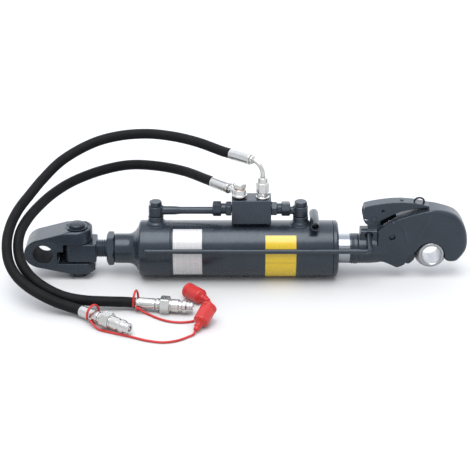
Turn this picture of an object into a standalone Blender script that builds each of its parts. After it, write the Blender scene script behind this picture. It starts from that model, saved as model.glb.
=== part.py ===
"""Hydraulic top link of a tractor's three-point hitch, category 3, closed.

Lengths below are in millimetres on the cylinder's own axes: X along the barrel
towards the hook, Y away from the side that carries the indicator rod, Z up, zero
on the barrel's axis. ORIGIN moves them so that the part lies on Z = 0.
"""
import math

import bmesh
import bpy
from mathutils import Matrix, Vector

for _old in list(bpy.data.objects):
    bpy.data.objects.remove(_old, do_unlink=True)

# ---------------------------------------------------------------- dimensions
MM = 0.001
GAP = 0.3
ORIGIN = Vector((-18.0, 3.6, 47.8))

BARREL_R, BORE_R = 47.5, 40.0
CAP_R = 47.8
CAP_X0, CAP_X1 = -160.5, -107.0
NECK_X, NECK_R = -202.0, 25.0
TUBE_X1 = 163.8
GLAND_X0, GLAND_X1 = 118.0, 172.4
ROD_R = 25.0
ROD_END_X = 206.5
PISTON_X0, PISTON_X1 = -125.0, -90.0

PIN_X, PIN_R = -265.0, 14.0
FORK_BORE_X, FORK_BORE_R = -321.0, 16.1
FORK_W, FORK_H, FORK_LOW = 25.5, 40.5, -36.5
FORK_SLOT, FORK_SLOT_X = 18.0, -298.0
EYE_R, EYE_H = 22.0, 16.5
THREAD_R = 15.0
NUT_AF = 50.0

BALL = Vector((329.3, 0.0, -3.0))
BALL_R, BALL_W, BALL_BORE_R = 28.5, 20.5, 16.1
SEAT_R = 29.1
THROAT_X, THROAT_Z, THROAT_R = 327.0, -4.9, 24.8
HOOK_W, SLOT_W = 21.0, 8.5
LATCH_PIVOT = Vector((262.0, 0.0, 30.0))
LEVER_PIVOT = Vector((231.0, 0.0, 58.5))
LEVER_W = 11.0

PORT_BASE_X, PORT_HEAD_X = -132.0, 109.4
BOSS_R, BOSS_TOP = 16.5, 61.3
PIPE_Z, PIPE_R = 70.5, 6.0
BLOCK = (-5.5, 60.0, -17.5, 17.5, 52.8, 94.6)
BLOCK_BORE_Z = 73.7
BANJO_X, ELBOW_X = 7.6, 45.8

HOSE_R = 8.5
FERRULE_R = 9.3
COUPLING_Z = -34.4
COUPLING_R, TIP_R = 12.0, 8.5
FERRULE_END_L, COUPLING_L = {"a": 32.0, "b": 38.0}, 62.0
CAP_BODY_R, CAP_BORE_R = 13.0, 9.4
STRAP_R = 1.9
INDICATOR_R = 4.0
INDICATOR_Y, INDICATOR_Z = -51.0, 19.0

# ---------------------------------------------------------------- materials


def material(name, rgb, rough, metal):
    m = bpy.data.materials.new(name)
    m.use_nodes = True
    b = m.node_tree.nodes["Principled BSDF"]
    b.inputs["Base Color"].default_value = (*rgb, 1.0)
    b.inputs["Roughness"].default_value = rough
    b.inputs["Metallic"].default_value = metal
    m.diffuse_color = (*rgb, 1.0)
    return m


LOOKS = {
    "paint": ((0.075, 0.083, 0.098), 0.42, 0.0),
    "zinc": ((0.62, 0.63, 0.64), 0.30, 1.0),
    "steel": ((0.50, 0.50, 0.50), 0.35, 1.0),
    "chrome": ((0.72, 0.73, 0.74), 0.08, 1.0),
    "copper": ((0.72, 0.36, 0.20), 0.30, 1.0),
    "hose": ((0.018, 0.018, 0.019), 0.60, 0.0),
    "red": ((0.72, 0.03, 0.02), 0.40, 0.0),
    "seal": ((0.05, 0.12, 0.30), 0.50, 0.0),
}

# ---------------------------------------------------------------- joints' empties


def empty(name, at=(0, 0, 0)):
    e = bpy.data.objects.new(name, None)
    bpy.context.scene.collection.objects.link(e)
    e.location = (Vector(at) + ORIGIN) * MM
    return e


BODIES = {
    "barrel": empty("barrel_origin"),
    "nut": empty("shank_turn_axis", (NECK_X, 0, 0)),
    "shank": empty("shank_travel_axis", (NECK_X, 0, 0)),
    "fork": empty("fork_swivel_axis", (PIN_X, 0, 0)),
    "piston": empty("stroke_axis", (PISTON_X0, 0, 0)),
    "hook": empty("rod_roll_axis", (ROD_END_X, 0, 0)),
    "lever": empty("lever_axis", LEVER_PIVOT),
    "latch": empty("latch_axis", LATCH_PIVOT),
    "ball": empty("ball_axis", BALL),
}


def attach(obj, body, look):
    """Gives a piece its material, and its place under its joint's empty."""
    e = BODIES[body]
    here = Vector(e.location) / MM - ORIGIN
    obj.data.transform(Matrix.Scale(MM, 4) @ Matrix.Translation(-here))
    obj.parent = e
    name = obj.name + "_finish"
    obj.data.materials.clear()
    obj.data.materials.append(material(name, *LOOKS[look]))
    if obj.type == "MESH":
        obj.data.shade_smooth()
        obj.data.set_sharp_from_angle(angle=math.radians(35))
    return obj


# ---------------------------------------------------------------- shapes


def add(name, verts, faces):
    me = bpy.data.meshes.new(name)
    me.from_pydata([tuple(v) for v in verts], [], faces)
    bm = bmesh.new()
    bm.from_mesh(me)
    bmesh.ops.recalc_face_normals(bm, faces=bm.faces[:])
    bm.to_mesh(me)
    bm.free()
    ob = bpy.data.objects.new(name, me)
    bpy.context.scene.collection.objects.link(ob)
    return ob


def basis(direction):
    d = Vector(direction).normalized()
    up = Vector((0, 0, 1)) if abs(d.z) < 0.9 else Vector((0, 1, 0))
    u = (up - d * up.dot(d)).normalized()
    return d, u, d.cross(u)


def turned(name, profile, at=(0, 0, 0), along=(1, 0, 0), n=28, phase=0.0):
    """A closed profile of (distance along, radius), turned round the line along."""
    at = Vector(at)
    d, u, w = basis(along)
    verts, rings = [], []
    for s, r in profile:
        if r <= 0:
            rings.append([len(verts)])
            verts.append(at + d * s)
            continue
        first = len(verts)
        for k in range(n):
            a = phase + 2 * math.pi * k / n
            verts.append(at + d * s + (u * math.cos(a) + w * math.sin(a)) * r)
        rings.append(list(range(first, first + n)))
    faces = []
    for i, ring in enumerate(rings):
        other = rings[(i + 1) % len(rings)]
        if len(ring) == 1 and len(other) == 1:
            continue
        for k in range(n):
            j = (k + 1) % n
            if len(ring) == 1:
                faces.append((ring[0], other[k], other[j]))
            elif len(other) == 1:
                faces.append((ring[k], other[0], ring[j]))
            else:
                faces.append((ring[k], other[k], other[j], ring[j]))
    return add(name, verts, faces)


def rod(name, p, q, r, n=16):
    p, q = Vector(p), Vector(q)
    h = (q - p).length
    return turned(name, [(0, 0), (0, r), (h, r), (h, 0)], p, q - p, n)


def hexagon(name, p, q, across, phase=0.0):
    """A hexagon across its flats, from p to q."""
    p, q = Vector(p), Vector(q)
    h = (q - p).length
    r = across / math.sqrt(3)
    return turned(name, [(0, 0), (0, r), (h, r), (h, 0)], p, q - p, 6, phase)


def prism(name, outline, lo, hi, plane="XZ"):
    verts = []
    for t in (lo, hi):
        for a, b in outline:
            verts.append((a, t, b) if plane == "XZ" else (a, b, t) if plane == "XY" else (t, a, b))
    n = len(outline)
    faces = [tuple(range(n)), tuple(range(2 * n - 1, n - 1, -1))]
    faces += [(k, (k + 1) % n, n + (k + 1) % n, n + k) for k in range(n)]
    return add(name, verts, faces)


def box(name, x0, x1, y0, y1, z0, z1):
    return prism(name, [(x0, z0), (x1, z0), (x1, z1), (x0, z1)], y0, y1)


def ball_mesh(name, at, r, n=32, m=18):
    prof = [(-r * math.cos(math.pi * k / m), r * math.sin(math.pi * k / m)) for k in range(m + 1)]
    prof[0] = (-r, 0)
    prof[-1] = (r, 0)
    return turned(name, prof, at, (0, 1, 0), n)


def open_edges(me):
    bm = bmesh.new()
    bm.from_mesh(me)
    n = sum(1 for e in bm.edges if len(e.link_faces) != 2)
    bm.free()
    return n


def boolean(target, tool, kind="DIFFERENCE"):
    """EXACT first, and MANIFOLD where that leaves an open edge."""
    for solver in ("EXACT", "MANIFOLD"):
        m = target.modifiers.new("cut", "BOOLEAN")
        m.operation = kind
        m.solver = solver
        m.object = tool
        bpy.context.view_layer.update()
        deps = bpy.context.evaluated_depsgraph_get()
        me = bpy.data.meshes.new_from_object(target.evaluated_get(deps))
        target.modifiers.clear()
        if me.polygons and not open_edges(me):
            break
    target.data = me
    bpy.data.objects.remove(tool, do_unlink=True)
    return target


def cut(target, *tools):
    for t in tools:
        boolean(target, t)
    return target


def join(target, *tools):
    for t in tools:
        boolean(target, t, "UNION")
    return target


def arc(cx, cy, r, a0, a1, n):
    return [
        (cx + r * math.cos(math.radians(a0 + (a1 - a0) * k / n)),
         cy + r * math.sin(math.radians(a0 + (a1 - a0) * k / n)))
        for k in range(n + 1)
    ]


def smooth_route(points, step):
    """Evenly spaced points on a centripetal Catmull-Rom curve through the points."""
    p = [Vector(q) for q in points]
    p = [p[0] * 2 - p[1]] + p + [p[-1] * 2 - p[-2]]
    dense = []
    for i in range(1, len(p) - 2):
        a, b, c, d = p[i - 1], p[i], p[i + 1], p[i + 2]
        t0 = 0.0
        t1 = t0 + (b - a).length ** 0.5
        t2 = t1 + (c - b).length ** 0.5
        t3 = t2 + (d - c).length ** 0.5
        for k in range(24):
            t = t1 + (t2 - t1) * k / 24
            a1 = a * ((t1 - t) / (t1 - t0)) + b * ((t - t0) / (t1 - t0))
            a2 = b * ((t2 - t) / (t2 - t1)) + c * ((t - t1) / (t2 - t1))
            a3 = c * ((t3 - t) / (t3 - t2)) + d * ((t - t2) / (t3 - t2))
            b1 = a1 * ((t2 - t) / (t2 - t0)) + a2 * ((t - t0) / (t2 - t0))
            b2 = a2 * ((t3 - t) / (t3 - t1)) + a3 * ((t - t1) / (t3 - t1))
            dense.append(b1 * ((t2 - t) / (t2 - t1)) + b2 * ((t - t1) / (t2 - t1)))
    dense.append(p[-2])
    run = [0.0]
    for i in range(1, len(dense)):
        run.append(run[-1] + (dense[i] - dense[i - 1]).length)
    count = max(2, round(run[-1] / step))
    out, i = [], 0
    for k in range(count + 1):
        s = run[-1] * k / count
        while i < len(run) - 2 and run[i + 1] < s:
            i += 1
        f = (s - run[i]) / max(run[i + 1] - run[i], 1e-9)
        out.append(dense[i].lerp(dense[i + 1], min(max(f, 0.0), 1.0)))
    return out


def tube(name, points, r, resolution=2):
    cu = bpy.data.curves.new(name, "CURVE")
    cu.dimensions = "3D"
    sp = cu.splines.new("POLY")
    sp.points.add(len(points) - 1)
    for s, p in zip(sp.points, points):
        s.co = (*p, 1.0)
    cu.bevel_depth = r
    cu.bevel_resolution = resolution
    cu.use_fill_caps = True
    cu.resolution_u = 1
    cu.render_resolution_u = 0
    ob = bpy.data.objects.new(name, cu)
    bpy.context.scene.collection.objects.link(ob)
    return ob


def attach_tube(ob, body, look):
    cu = ob.data
    e = BODIES[body]
    here = Vector(e.location) / MM - ORIGIN
    for s in cu.splines[0].points:
        s.co = (*((Vector(s.co[:3]) - here) * MM), 1.0)
    cu.bevel_depth *= MM
    ob.parent = e
    cu.materials.append(material(ob.name + "_finish", *LOOKS[look]))
    return ob


# ================================================================ cylinder
# Tube: plain honed tube with the head port drilled through its top.
barrel = turned("barrel_tube", [(CAP_X1 + GAP, BORE_R), (CAP_X1 + GAP, BARREL_R - 1.5),
                                (CAP_X1 + 1.8, BARREL_R), (TUBE_X1 - 1.5, BARREL_R),
                                (TUBE_X1, BARREL_R - 1.5), (TUBE_X1, BORE_R)], n=28)
cut(barrel, rod("t1", (PORT_HEAD_X, 0, 22), (PORT_HEAD_X, 0, 60), 4, 10))
attach(barrel, "barrel", "paint")

# Base cap: bell-shaped neck with the blind threaded bore, and the cup behind it.
bell = [(NECK_X, 0), (NECK_X, NECK_R - 1.5), (NECK_X + 1.5, NECK_R), (-178, NECK_R)]
bell += [(-178 + 15.0 * math.sin(t), NECK_R + 15.0 * (1 - math.cos(t)))
         for t in (0.35, 0.7, 1.05, 1.3)]
bell += [(-162.2, 43.0), (-160.9, 45.6), (-158.8, 47.2), (-156.5, CAP_R),
         (CAP_X1 - 1.5, CAP_R), (CAP_X1, CAP_R - 1.5), (CAP_X1, BORE_R), (-145.0, BORE_R), (-145.0, 0)]
cap = turned("base_cap", bell, n=28)
cut(cap, rod("t1", (NECK_X - 5, 0, 0), (-165, 0, 0), THREAD_R + GAP, 16),
    rod("t2", (PORT_BASE_X, 0, 22), (PORT_BASE_X, 0, 60), 4, 10))
attach(cap, "barrel", "paint")

# Gland: screwed-in rod guide with grooves for the rod seal and the wiper.
attach(turned("gland", [
    (GLAND_X0, ROD_R + GAP), (GLAND_X0, 38.2), (GLAND_X0 + 1.5, BORE_R - GAP),
    (TUBE_X1 + GAP, BORE_R - GAP), (TUBE_X1 + GAP, BARREL_R),
    (GLAND_X1 - 3.0, BARREL_R), (GLAND_X1, BARREL_R - 3.0), (GLAND_X1, 31.0),
    (166.0, 31.0), (166.0, ROD_R + GAP), (135.0, ROD_R + GAP), (135.0, 31.0),
    (126.0, 31.0), (126.0, ROD_R + GAP)], n=28), "barrel", "paint")
attach(turned("rod_seal", [(126.4, 25.4), (126.4, 30.6), (134.6, 30.6), (134.6, 28.6),
                           (131.5, 28.0), (134.6, 27.4), (134.6, 25.4)], n=20), "barrel", "seal")
attach(turned("rod_wiper", [(166.4, 25.4), (166.4, 30.6), (172.0, 30.6), (173.6, 26.2),
                            (173.6, 25.4)], n=20), "barrel", "seal")

# Weld bosses: saddles on the barrel that take the banjo bolts.
for name, x, r, foot in (("boss_base", PORT_BASE_X, CAP_R, BOSS_R), ("boss_head", PORT_HEAD_X, BARREL_R, 15.2)):
    b = turned(name, [(0, 0), (0, foot), (9.4, foot), (11.0, foot - 0.9), (12.6, 13.2),
                      (BOSS_TOP - 40, 12.8), (BOSS_TOP - 40, 0)], (x, 0, 40), (0, 0, 1), 16)
    cut(b, rod("t1", (x - 40, 0, 0), (x + 40, 0, 0), r + GAP, 40),
        rod("t2", (x, 0, 32), (x, 0, 70), 7.3, 16))
    attach(b, "barrel", "paint")

# Pipes: banjo eye and rigid pipe brazed into one piece each.
for name, x, x_end, side in (("pipe_base", PORT_BASE_X, -31.0, 1), ("pipe_head", PORT_HEAD_X, 84.0, -1)):
    eye = turned(name, [(0, 7.3), (0, 11.2), (0.8, 12.0), (17.0, 12.0), (17.8, 11.2), (17.8, 7.3)],
                 (x, 0, 61.6), (0, 0, 1), 16)
    join(eye, rod("t1", (x + side * 9.5, 0, PIPE_Z), (x_end, 0, PIPE_Z), PIPE_R, 16))
    attach(eye, "barrel", "paint")
for name, x in (("banjo_bolt_base", PORT_BASE_X), ("banjo_bolt_head", PORT_HEAD_X)):
    h = hexagon(name, (x, 0, 79.7), (x, 0, 87.0), 19.0)
    join(h, rod("t1", (x, 0, 49.5), (x, 0, 80.5), 7.0, 16))
    attach(h, "barrel", "paint")

# Valve block: cross-drilled body of the pilot-operated double check valve.
x0, x1, y0, y1, z0, z1 = BLOCK
block = box("valve_block", x0, x1, y0, y1, z0, z1)
cut(block,
    rod("t1", (x0 - 5, 0, BLOCK_BORE_Z), (x1 + 5, 0, BLOCK_BORE_Z), 6.0, 16),
    rod("t2", (x0 - 5, 0, BLOCK_BORE_Z), (8.0, 0, BLOCK_BORE_Z), 7.1, 16),
    rod("t3", (46.5, 0, BLOCK_BORE_Z), (x1 + 5, 0, BLOCK_BORE_Z), 7.1, 16))
for px in (BANJO_X, ELBOW_X):
    cut(block, rod("t4", (px, 0, 83.0), (px, 0, z1 + 5), 5.8, 16),
        rod("t5", (px, 0, BLOCK_BORE_Z), (px, 0, 84.0), 3.0, 12))
attach(block, "barrel", "paint")
attach(turned("pilot_piston", [(18.0, 0), (18.0, 2.0), (20.5, 2.0), (20.5, 5.7), (33.5, 5.7),
                               (33.5, 2.0), (36.0, 2.0), (36.0, 0)], (0, 0, BLOCK_BORE_Z), n=16),
       "barrel", "steel")
attach(turned("check_poppet_base", [(9.2, 0), (9.2, 5.6), (13.5, 5.6), (16.2, 2.4), (16.2, 0)],
              (0, 0, BLOCK_BORE_Z), n=16), "barrel", "steel")
attach(turned("check_poppet_head", [(45.3, 0), (45.3, 5.6), (41.0, 5.6), (38.3, 2.4), (38.3, 0)],
              (0, 0, BLOCK_BORE_Z), n=16), "barrel", "steel")

# Union nuts and screwed adapters at both ends of the block.
for tag, sgn, face in (("base", -1, x0), ("head", 1, x1)):
    def X(t, face=face, sgn=sgn):
        return face + sgn * t
    a = hexagon("adapter_" + tag, (X(0.3), 0, BLOCK_BORE_Z), (X(9.5), 0, BLOCK_BORE_Z), 22.0, 0.0)
    join(a, rod("t1", (X(-12.0), 0, BLOCK_BORE_Z), (X(1.0), 0, BLOCK_BORE_Z), 6.8, 16),
         rod("t2", (X(9.0), 0, BLOCK_BORE_Z), (X(24.0), 0, BLOCK_BORE_Z), 9.0, 16))
    cut(a, rod("t3", (X(-15), 0, BLOCK_BORE_Z), (X(30), 0, BLOCK_BORE_Z), 3.5, 10))
    attach(a, "barrel", "paint")
    n = hexagon("pipe_nut_" + tag, (X(17.2), 0, BLOCK_BORE_Z), (X(31.5), 0, BLOCK_BORE_Z), 22.0, 0.0)
    zc = BLOCK_BORE_Z
    cut(n, rod("t4", (X(10), 0, zc), (X(24.4), 0, zc), 9.3, 16),
        rod("t5", (X(24), 0, PIPE_Z), (X(40), 0, PIPE_Z), 6.3, 16))
    attach(n, "barrel", "paint")

# ---------------------------------------------------------------- hose fittings
TAIL = Vector((-0.7265, 0.6872, 0.0)).normalized()
TAIL_Z = 103.6
eye = turned("hose_banjo_eye", [(0, 5.8), (0, 12.0), (1.0, 13.0), (5.0, 13.0), (6.0, 11.0),
                                (13.4, 11.0), (14.4, 10.0), (14.4, 5.8)],
             (BANJO_X, 0, 96.4), (0, 0, 1), 16)
c = Vector((BANJO_X, 0, TAIL_Z))
join(eye, rod("t1", c + TAIL * 8.5, c + TAIL * 22.5, 6.0, 16))
attach(eye, "barrel", "zinc")
for name, z in (("washer_lower", 94.9), ("washer_upper", 111.1)):
    attach(turned(name, [(0, 5.8), (0, 9.5), (1.2, 9.5), (1.2, 5.8)], (BANJO_X, 0, z), (0, 0, 1), 14),
           "barrel", "copper")
h = hexagon("hose_banjo_bolt", (BANJO_X, 0, 112.6), (BANJO_X, 0, 120.5), 20.0)
join(h, rod("t1", (BANJO_X, 0, 84.5), (BANJO_X, 0, 113.5), 5.5, 16))
attach(h, "barrel", "zinc")

a = hexagon("hose_adapter", (ELBOW_X, 0, 98.0), (ELBOW_X, 0, 103.9), 19.0)
join(a, turned("t1", [(0, 0), (0, 5.5), (10.4, 5.5), (10.4, 11.5), (13.8, 11.5), (13.8, 0)],
               (ELBOW_X, 0, 84.5), (0, 0, 1), 14),
     rod("t2", (ELBOW_X, 0, 103.5), (ELBOW_X, 0, 112.0), 7.0, 16))
cut(a, rod("t3", (ELBOW_X, 0, 80), (ELBOW_X, 0, 120), 3.0, 12))
attach(a, "barrel", "zinc")
n = hexagon("swivel_nut", (ELBOW_X, 0, 104.3), (ELBOW_X, 0, 122.0), 19.0)
join(n, rod("t1", (ELBOW_X, 0, 121.0), (ELBOW_X, 0, 131.0), 8.2, 16))
cut(n, rod("t2", (ELBOW_X, 0, 100), (ELBOW_X, 0, 112.6), 7.3, 16),
    rod("t3", (ELBOW_X, 0, 112), (ELBOW_X, 0, 135), 4.4, 14))
attach(n, "barrel", "zinc")
OUT = Vector((-0.8, 0.6, 0.0))
top = Vector((ELBOW_X, 0, 156.0))
bend = [Vector((ELBOW_X, 0, z)) for z in (112.9, 120.0, 128.0)]
bend += [Vector((ELBOW_X, 0, 136)) + OUT * 20 * (1 - math.cos(t)) + Vector((0, 0, 20 * math.sin(t)))
         for t in [math.pi / 2 * k / 8 for k in range(9)]]
bend.append(top + OUT * 24.0)
attach_tube(tube("elbow_tube", bend, 4.0, 2), "barrel", "zinc")


def ferrule(name, p, d, length, r=FERRULE_R):
    prof = [(0, 0), (0, r - 1.6), (1.2, r - 0.4), (length * 0.30, r), (length * 0.36, r - 0.9),
            (length * 0.64, r - 0.9), (length * 0.70, r), (length - 1.2, r - 0.2),
            (length, r - 1.2), (length, 0)]
    return attach(turned(name, prof, p, d, 14), "barrel", "zinc")


A0 = c + TAIL * 62.0
ferrule("ferrule_a_top", c + TAIL * 22.8, TAIL, 39.0)
B0 = top + OUT * 66.0
ferrule("ferrule_b_top", top + OUT * 24.3, OUT, 41.5)

# ---------------------------------------------------------------- hoses
DIR_A = Vector((0.988, -0.1545, 0.0)).normalized()
END_A = Vector((-159.8, -128.5, COUPLING_Z))
DIR_B = Vector((0.815, -0.58, 0.0)).normalized()
END_B = Vector((-245.6, -155.4, COUPLING_Z))

ROUTE_A = [A0 + TAIL * 6, A0 + TAIL * 16, (-86, 86, 104), (-130, 108, 104), (-174, 113, 105),
           (-204, 104, 105), (-242.5, 93.6, 98), (-280, 71, 90), (-307.5, 42, 82), (-327.5, 13, 73),
           (-343.5, -22, 64), (-352.5, -50, 52), (-354, -69, 36), (-347, -90, 18), (-330.6, -104, 0),
           (-305.5, -117.5, -13.5), (-277, -125.5, -24), (-244, -127.8, -30.2), (-209, -126.6, -33.0),
           END_A - DIR_A * 16, END_A - DIR_A * 6]
ROUTE_B = [B0 + OUT * 6, B0 + OUT * 16, (-64, 75, 162.5), (-104, 90, 166.5), (-149, 100, 167.5),
           (-197, 98, 164.5), (-241, 85, 156.5), (-291, 60, 135.5), (-321, 35, 113), (-341.5, 8, 95),
           (-358, -20, 80), (-368, -45, 63.6), (-372, -68, 44), (-367, -92, 21.7), (-353, -110, 4.5),
           (-333, -124, -8), (-308, -135.5, -18.5), (-283, -142.5, -27.5),
           END_B - DIR_B * 12, END_B - DIR_B * 4]
HOSE_A = [A0 + TAIL * 0.4] + smooth_route(ROUTE_A, 21.0) + [END_A - DIR_A * 0.4]
HOSE_B = [B0 + OUT * 0.4] + smooth_route(ROUTE_B, 21.0) + [END_B - DIR_B * 0.4]
attach_tube(tube("hose_a", HOSE_A, HOSE_R, 2), "barrel", "hose")
attach_tube(tube("hose_b", HOSE_B, HOSE_R, 2), "barrel", "hose")

# Male push-pull couplings: collar, hexagon, locking groove and open nose.
for tag, p, d in (("a", END_A, DIR_A), ("b", END_B, DIR_B)):
    ferrule("ferrule_%s_end" % tag, p, d, FERRULE_END_L[tag])
    q = p + d * (FERRULE_END_L[tag] + GAP)
    body = turned("coupling_" + tag, [
        (0, 0), (0, 9.2), (1.0, 10.2), (9.0, 10.2), (25.5, 10.6), (38.0, 10.6), (39.0, 9.0), (44.0, 9.0),
        (45.0, 10.6), (49.5, 10.6), (52.5, TIP_R), (60.5, TIP_R), (COUPLING_L - 0.3, 7.2),
        (COUPLING_L - 0.3, 4.3), (48.0, 4.3), (48.0, 0)], q, d, 12)
    join(body, hexagon("t1", q + d * 8.0, q + d * 24.0, 26.4, math.pi / 6))
    attach(body, "barrel", "zinc")
    attach(turned("nipple_poppet_" + tag, [(50.5, 0), (50.5, 4.0), (58.0, 4.0), (61.5, 2.0), (61.5, 0)],
                  q, d, 12), "barrel", "steel")

# Dust caps: soft cups with a neck that carries the strap.
CAP_A, CAP_A_DIR = Vector((-42.5, -122.0, -34.7)), Vector((-0.687, 0.727, 0.0)).normalized()
tilt = math.radians(22)
CAP_B = Vector((-62.0, -205.0, -41.9))
CAP_B_DIR = Vector((0.45 * math.cos(tilt), 0.893 * math.cos(tilt), math.sin(tilt))).normalized()
for tag, p, d in (("a", CAP_A, CAP_A_DIR), ("b", CAP_B, CAP_B_DIR)):
    attach(turned("cap_" + tag, [
        (0, 0), (0, 4.2), (12, 4.6), (16, 7.0), (17, 11.0), (18.5, CAP_BODY_R - 0.4), (46.5, CAP_BODY_R - 0.4),
        (47.0, CAP_BODY_R), (52, CAP_BODY_R), (52, CAP_BORE_R), (22, CAP_BORE_R), (22, 0)], p, d, 14),
        "barrel", "red")


def ring_points(centre, d, half_w, half_h, drop, start, sweep, pitch, n):
    """An open loop round the line d, drawn from the angle start."""
    side = Vector((0, 0, 1)).cross(d).normalized()
    out = []
    for k in range(n + 1):
        a = math.radians(start + sweep * k / n)
        out.append(centre + side * (half_w * math.cos(a)) + Vector((0, 0, drop + half_h * math.sin(a)))
                   + d * (pitch * k / n))
    return out


# Straps: round cords moulded with the caps, each ending in a loop round its ferrule.
centre_a = END_A + DIR_A * 3.0
loop_a = ring_points(centre_a, DIR_A, 12.6, 16.2, 4.9, 205, 332, -5.0, 12)
route = [CAP_A - CAP_A_DIR * 2.1, CAP_A - CAP_A_DIR * 5 + Vector((0, 0, -3)), (-44, -136, -45.0),
         (-50, -153, -45.6), (-65, -168, -45.6), (-88, -172.6, -45.6), (-109, -168, -45.6),
         (-128, -156, -45.6), (-144, -143, -44.8)]
attach_tube(tube("strap_a", smooth_route(route + [loop_a[0]], 12.0)[:-1] + loop_a, STRAP_R, 2), "barrel", "red")
centre_b = END_B + DIR_B * 28.0
loop_b = ring_points(centre_b, DIR_B, 13.0, 14.5, 3.1, 205, 332, -5.0, 12)
route = [CAP_B - CAP_B_DIR * 2.1, CAP_B - CAP_B_DIR * 7 + Vector((0, -1, -0.3)), (-73, -218, -45.6),
         (-88, -229, -45.6), (-110, -235, -45.6), (-136, -230, -45.6), (-166, -216.5, -45.6),
         (-196, -204, -45.6), (-215, -195, -45.2)]
attach_tube(tube("strap_b", smooth_route(route + [loop_b[0]], 12.0)[:-1] + loop_b, STRAP_R, 2), "barrel", "red")

# Stow tube: open cross tube welded on the barrel's crown.
attach(turned("stow_tube", [(-34, 5.2), (-34, 7.0), (-33.5, 7.5), (21.5, 7.5), (22, 7.0), (22, 5.2)],
              (132.4, 0, 55.6), (0, 1, 0), 12), "barrel", "paint")

# ================================================================ piston and rod
attach(turned("piston", [
    (PISTON_X0, 12.3), (PISTON_X0, 38.0), (PISTON_X0 + 1.5, 39.7), (-113.0, 39.7), (-113.0, 35.0),
    (-102.0, 35.0), (-102.0, 39.7), (PISTON_X1 - 1.5, 39.7), (PISTON_X1, 38.0), (PISTON_X1, 12.3)],
    n=28), "piston", "steel")
attach(turned("piston_seal", [(-112.6, 35.4), (-112.6, 39.6), (-102.4, 39.6), (-102.4, 35.4)], n=28),
       "piston", "seal")
n = hexagon("piston_nut", (-139.5, 0, 0), (PISTON_X0 - GAP, 0, 0), 36.0)
cut(n, rod("t1", (-145, 0, 0), (-120, 0, 0), 12.3, 16))
attach(n, "piston", "steel")
attach(turned("piston_rod", [
    (-141.0, 0), (-141.0, 11.0), (-140.0, 12.0), (PISTON_X1 + GAP, 12.0), (PISTON_X1 + GAP, 23.5),
    (PISTON_X1 + 2.0, ROD_R), (199.0, ROD_R), (200.0, 25.9), (205.2, 25.9), (ROD_END_X, 25.0),
    (ROD_END_X, 14.0), (228.0, 14.0), (228.0, 0)], n=28), "hook", "chrome")

# ================================================================ hook
def rounded_plate(name, outline, w, steps=2):
    """A plate along Y whose rim is rounded. Each outline point is (x, z, rounding radius)."""
    n = len(outline)
    out, inward = [], []
    for i in range(n):
        a, b, c = (Vector(outline[j][:2]) for j in (i - 1, i, (i + 1) % n))
        d1, d2 = (b - a).normalized(), (c - b).normalized()
        n1, n2 = Vector((-d1.y, d1.x)), Vector((-d2.y, d2.x))
        m = (n1 + n2).normalized()
        inward.append(m * min(1.35, 1.0 / max(m.dot(n1), 0.3)))
    angles = [math.pi / 2 * k / steps for k in range(steps + 1)]
    layers = [(-1, t) for t in reversed(angles)] + [(1, t) for t in angles]
    verts = []
    for sign, t in layers:
        for (x, z, r), m in zip(outline, inward):
            o = r * (1 - math.cos(t))
            verts.append((x + m.x * o, sign * (w - r + r * math.sin(t)), z + m.y * o))
    faces = [tuple(range(n)), tuple(range((len(layers) - 1) * n, len(layers) * n))[::-1]]
    for k in range(len(layers) - 1):
        faces += [(k * n + i, k * n + (i + 1) % n, (k + 1) * n + (i + 1) % n, (k + 1) * n + i) for i in range(n)]
    return add(name, verts, faces)


throat = [(x, z, 1.0) for x, z in arc(THROAT_X, THROAT_Z, THROAT_R, 165, -10, 14)]
outline = ([(238, -15, 3), (251, -17.3, 3), (271.8, -26.8, 2), (285.5, -20.3, 2), (287.5, -12, 1),
            (292, -3.5, 1), (298, 1.2, 1)]
           + throat
           + [(355.5, -13.8, 2), (363, -15.8, 4), (372, -15, 6), (378.7, -9.4, 8),
              (384.4, -1.5, 9), (387.7, 6.0, 9), (389, 14.4, 9), (388.2, 27, 9), (385.4, 40, 9),
              (378.7, 55, 9), (369, 66.5, 9), (359.4, 71.8, 9), (349.6, 75, 9), (336, 77.8, 7),
              (324, 78.2, 2), (300, 72.5, 1.5), (284, 67.4, 1.5), (268, 61.8, 1.5), (252.6, 53.0, 1.5),
              (244, 46.5, 2), (238, 40, 2)])
hook = rounded_plate("hook_body", outline, HOOK_W)
join(hook, turned("t0", [(206.8, 0), (206.8, 25.0), (230, 25.0), (272, 19.0), (272, 0)], n=28),
     prism("t1", [(-13, 4), (13, 4), (13, 33), (11, 37), (7, 39), (-7, 39), (-11, 37), (-13, 33)],
           209.5, 243, "YZ"),
     prism("t2", [(222, 36), (243, 36), (243, 60), (239, 66), (227, 66), (222, 61)], -7.5, 7.5))
pocket = [(244, -30), (306, -30), (306, 4), (301, 22), (288, 38), (276, 50), (262, 72), (244, 72)]
cut(hook, prism("t1", pocket, -SLOT_W, SLOT_W),
    ball_mesh("t2", BALL, SEAT_R),
    rod("t3", (200, 0, 0), (229, 0, 0), 14.3, 26),
    rod("t4", (LATCH_PIVOT.x, -18, LATCH_PIVOT.z), (LATCH_PIVOT.x, 30, LATCH_PIVOT.z), 5.3, 14),
    rod("t5", (LEVER_PIVOT.x, -30, LEVER_PIVOT.z), (LEVER_PIVOT.x, 30, LEVER_PIVOT.z), 4.3, 14))
LEG = Vector((0.0, 39.0, 11.0)).normalized()
LEG_END = Vector((224.0, -5.0, 32.0))
cut(hook, rod("t6", LEG_END + LEG * 0.4, LEG_END - LEG * 30, INDICATOR_R + GAP, 14),
    rod("t7", LEG_END - LEG * 5.2, LEG_END - LEG * 30, 6.2, 16))
attach(hook, "hook", "paint")

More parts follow.
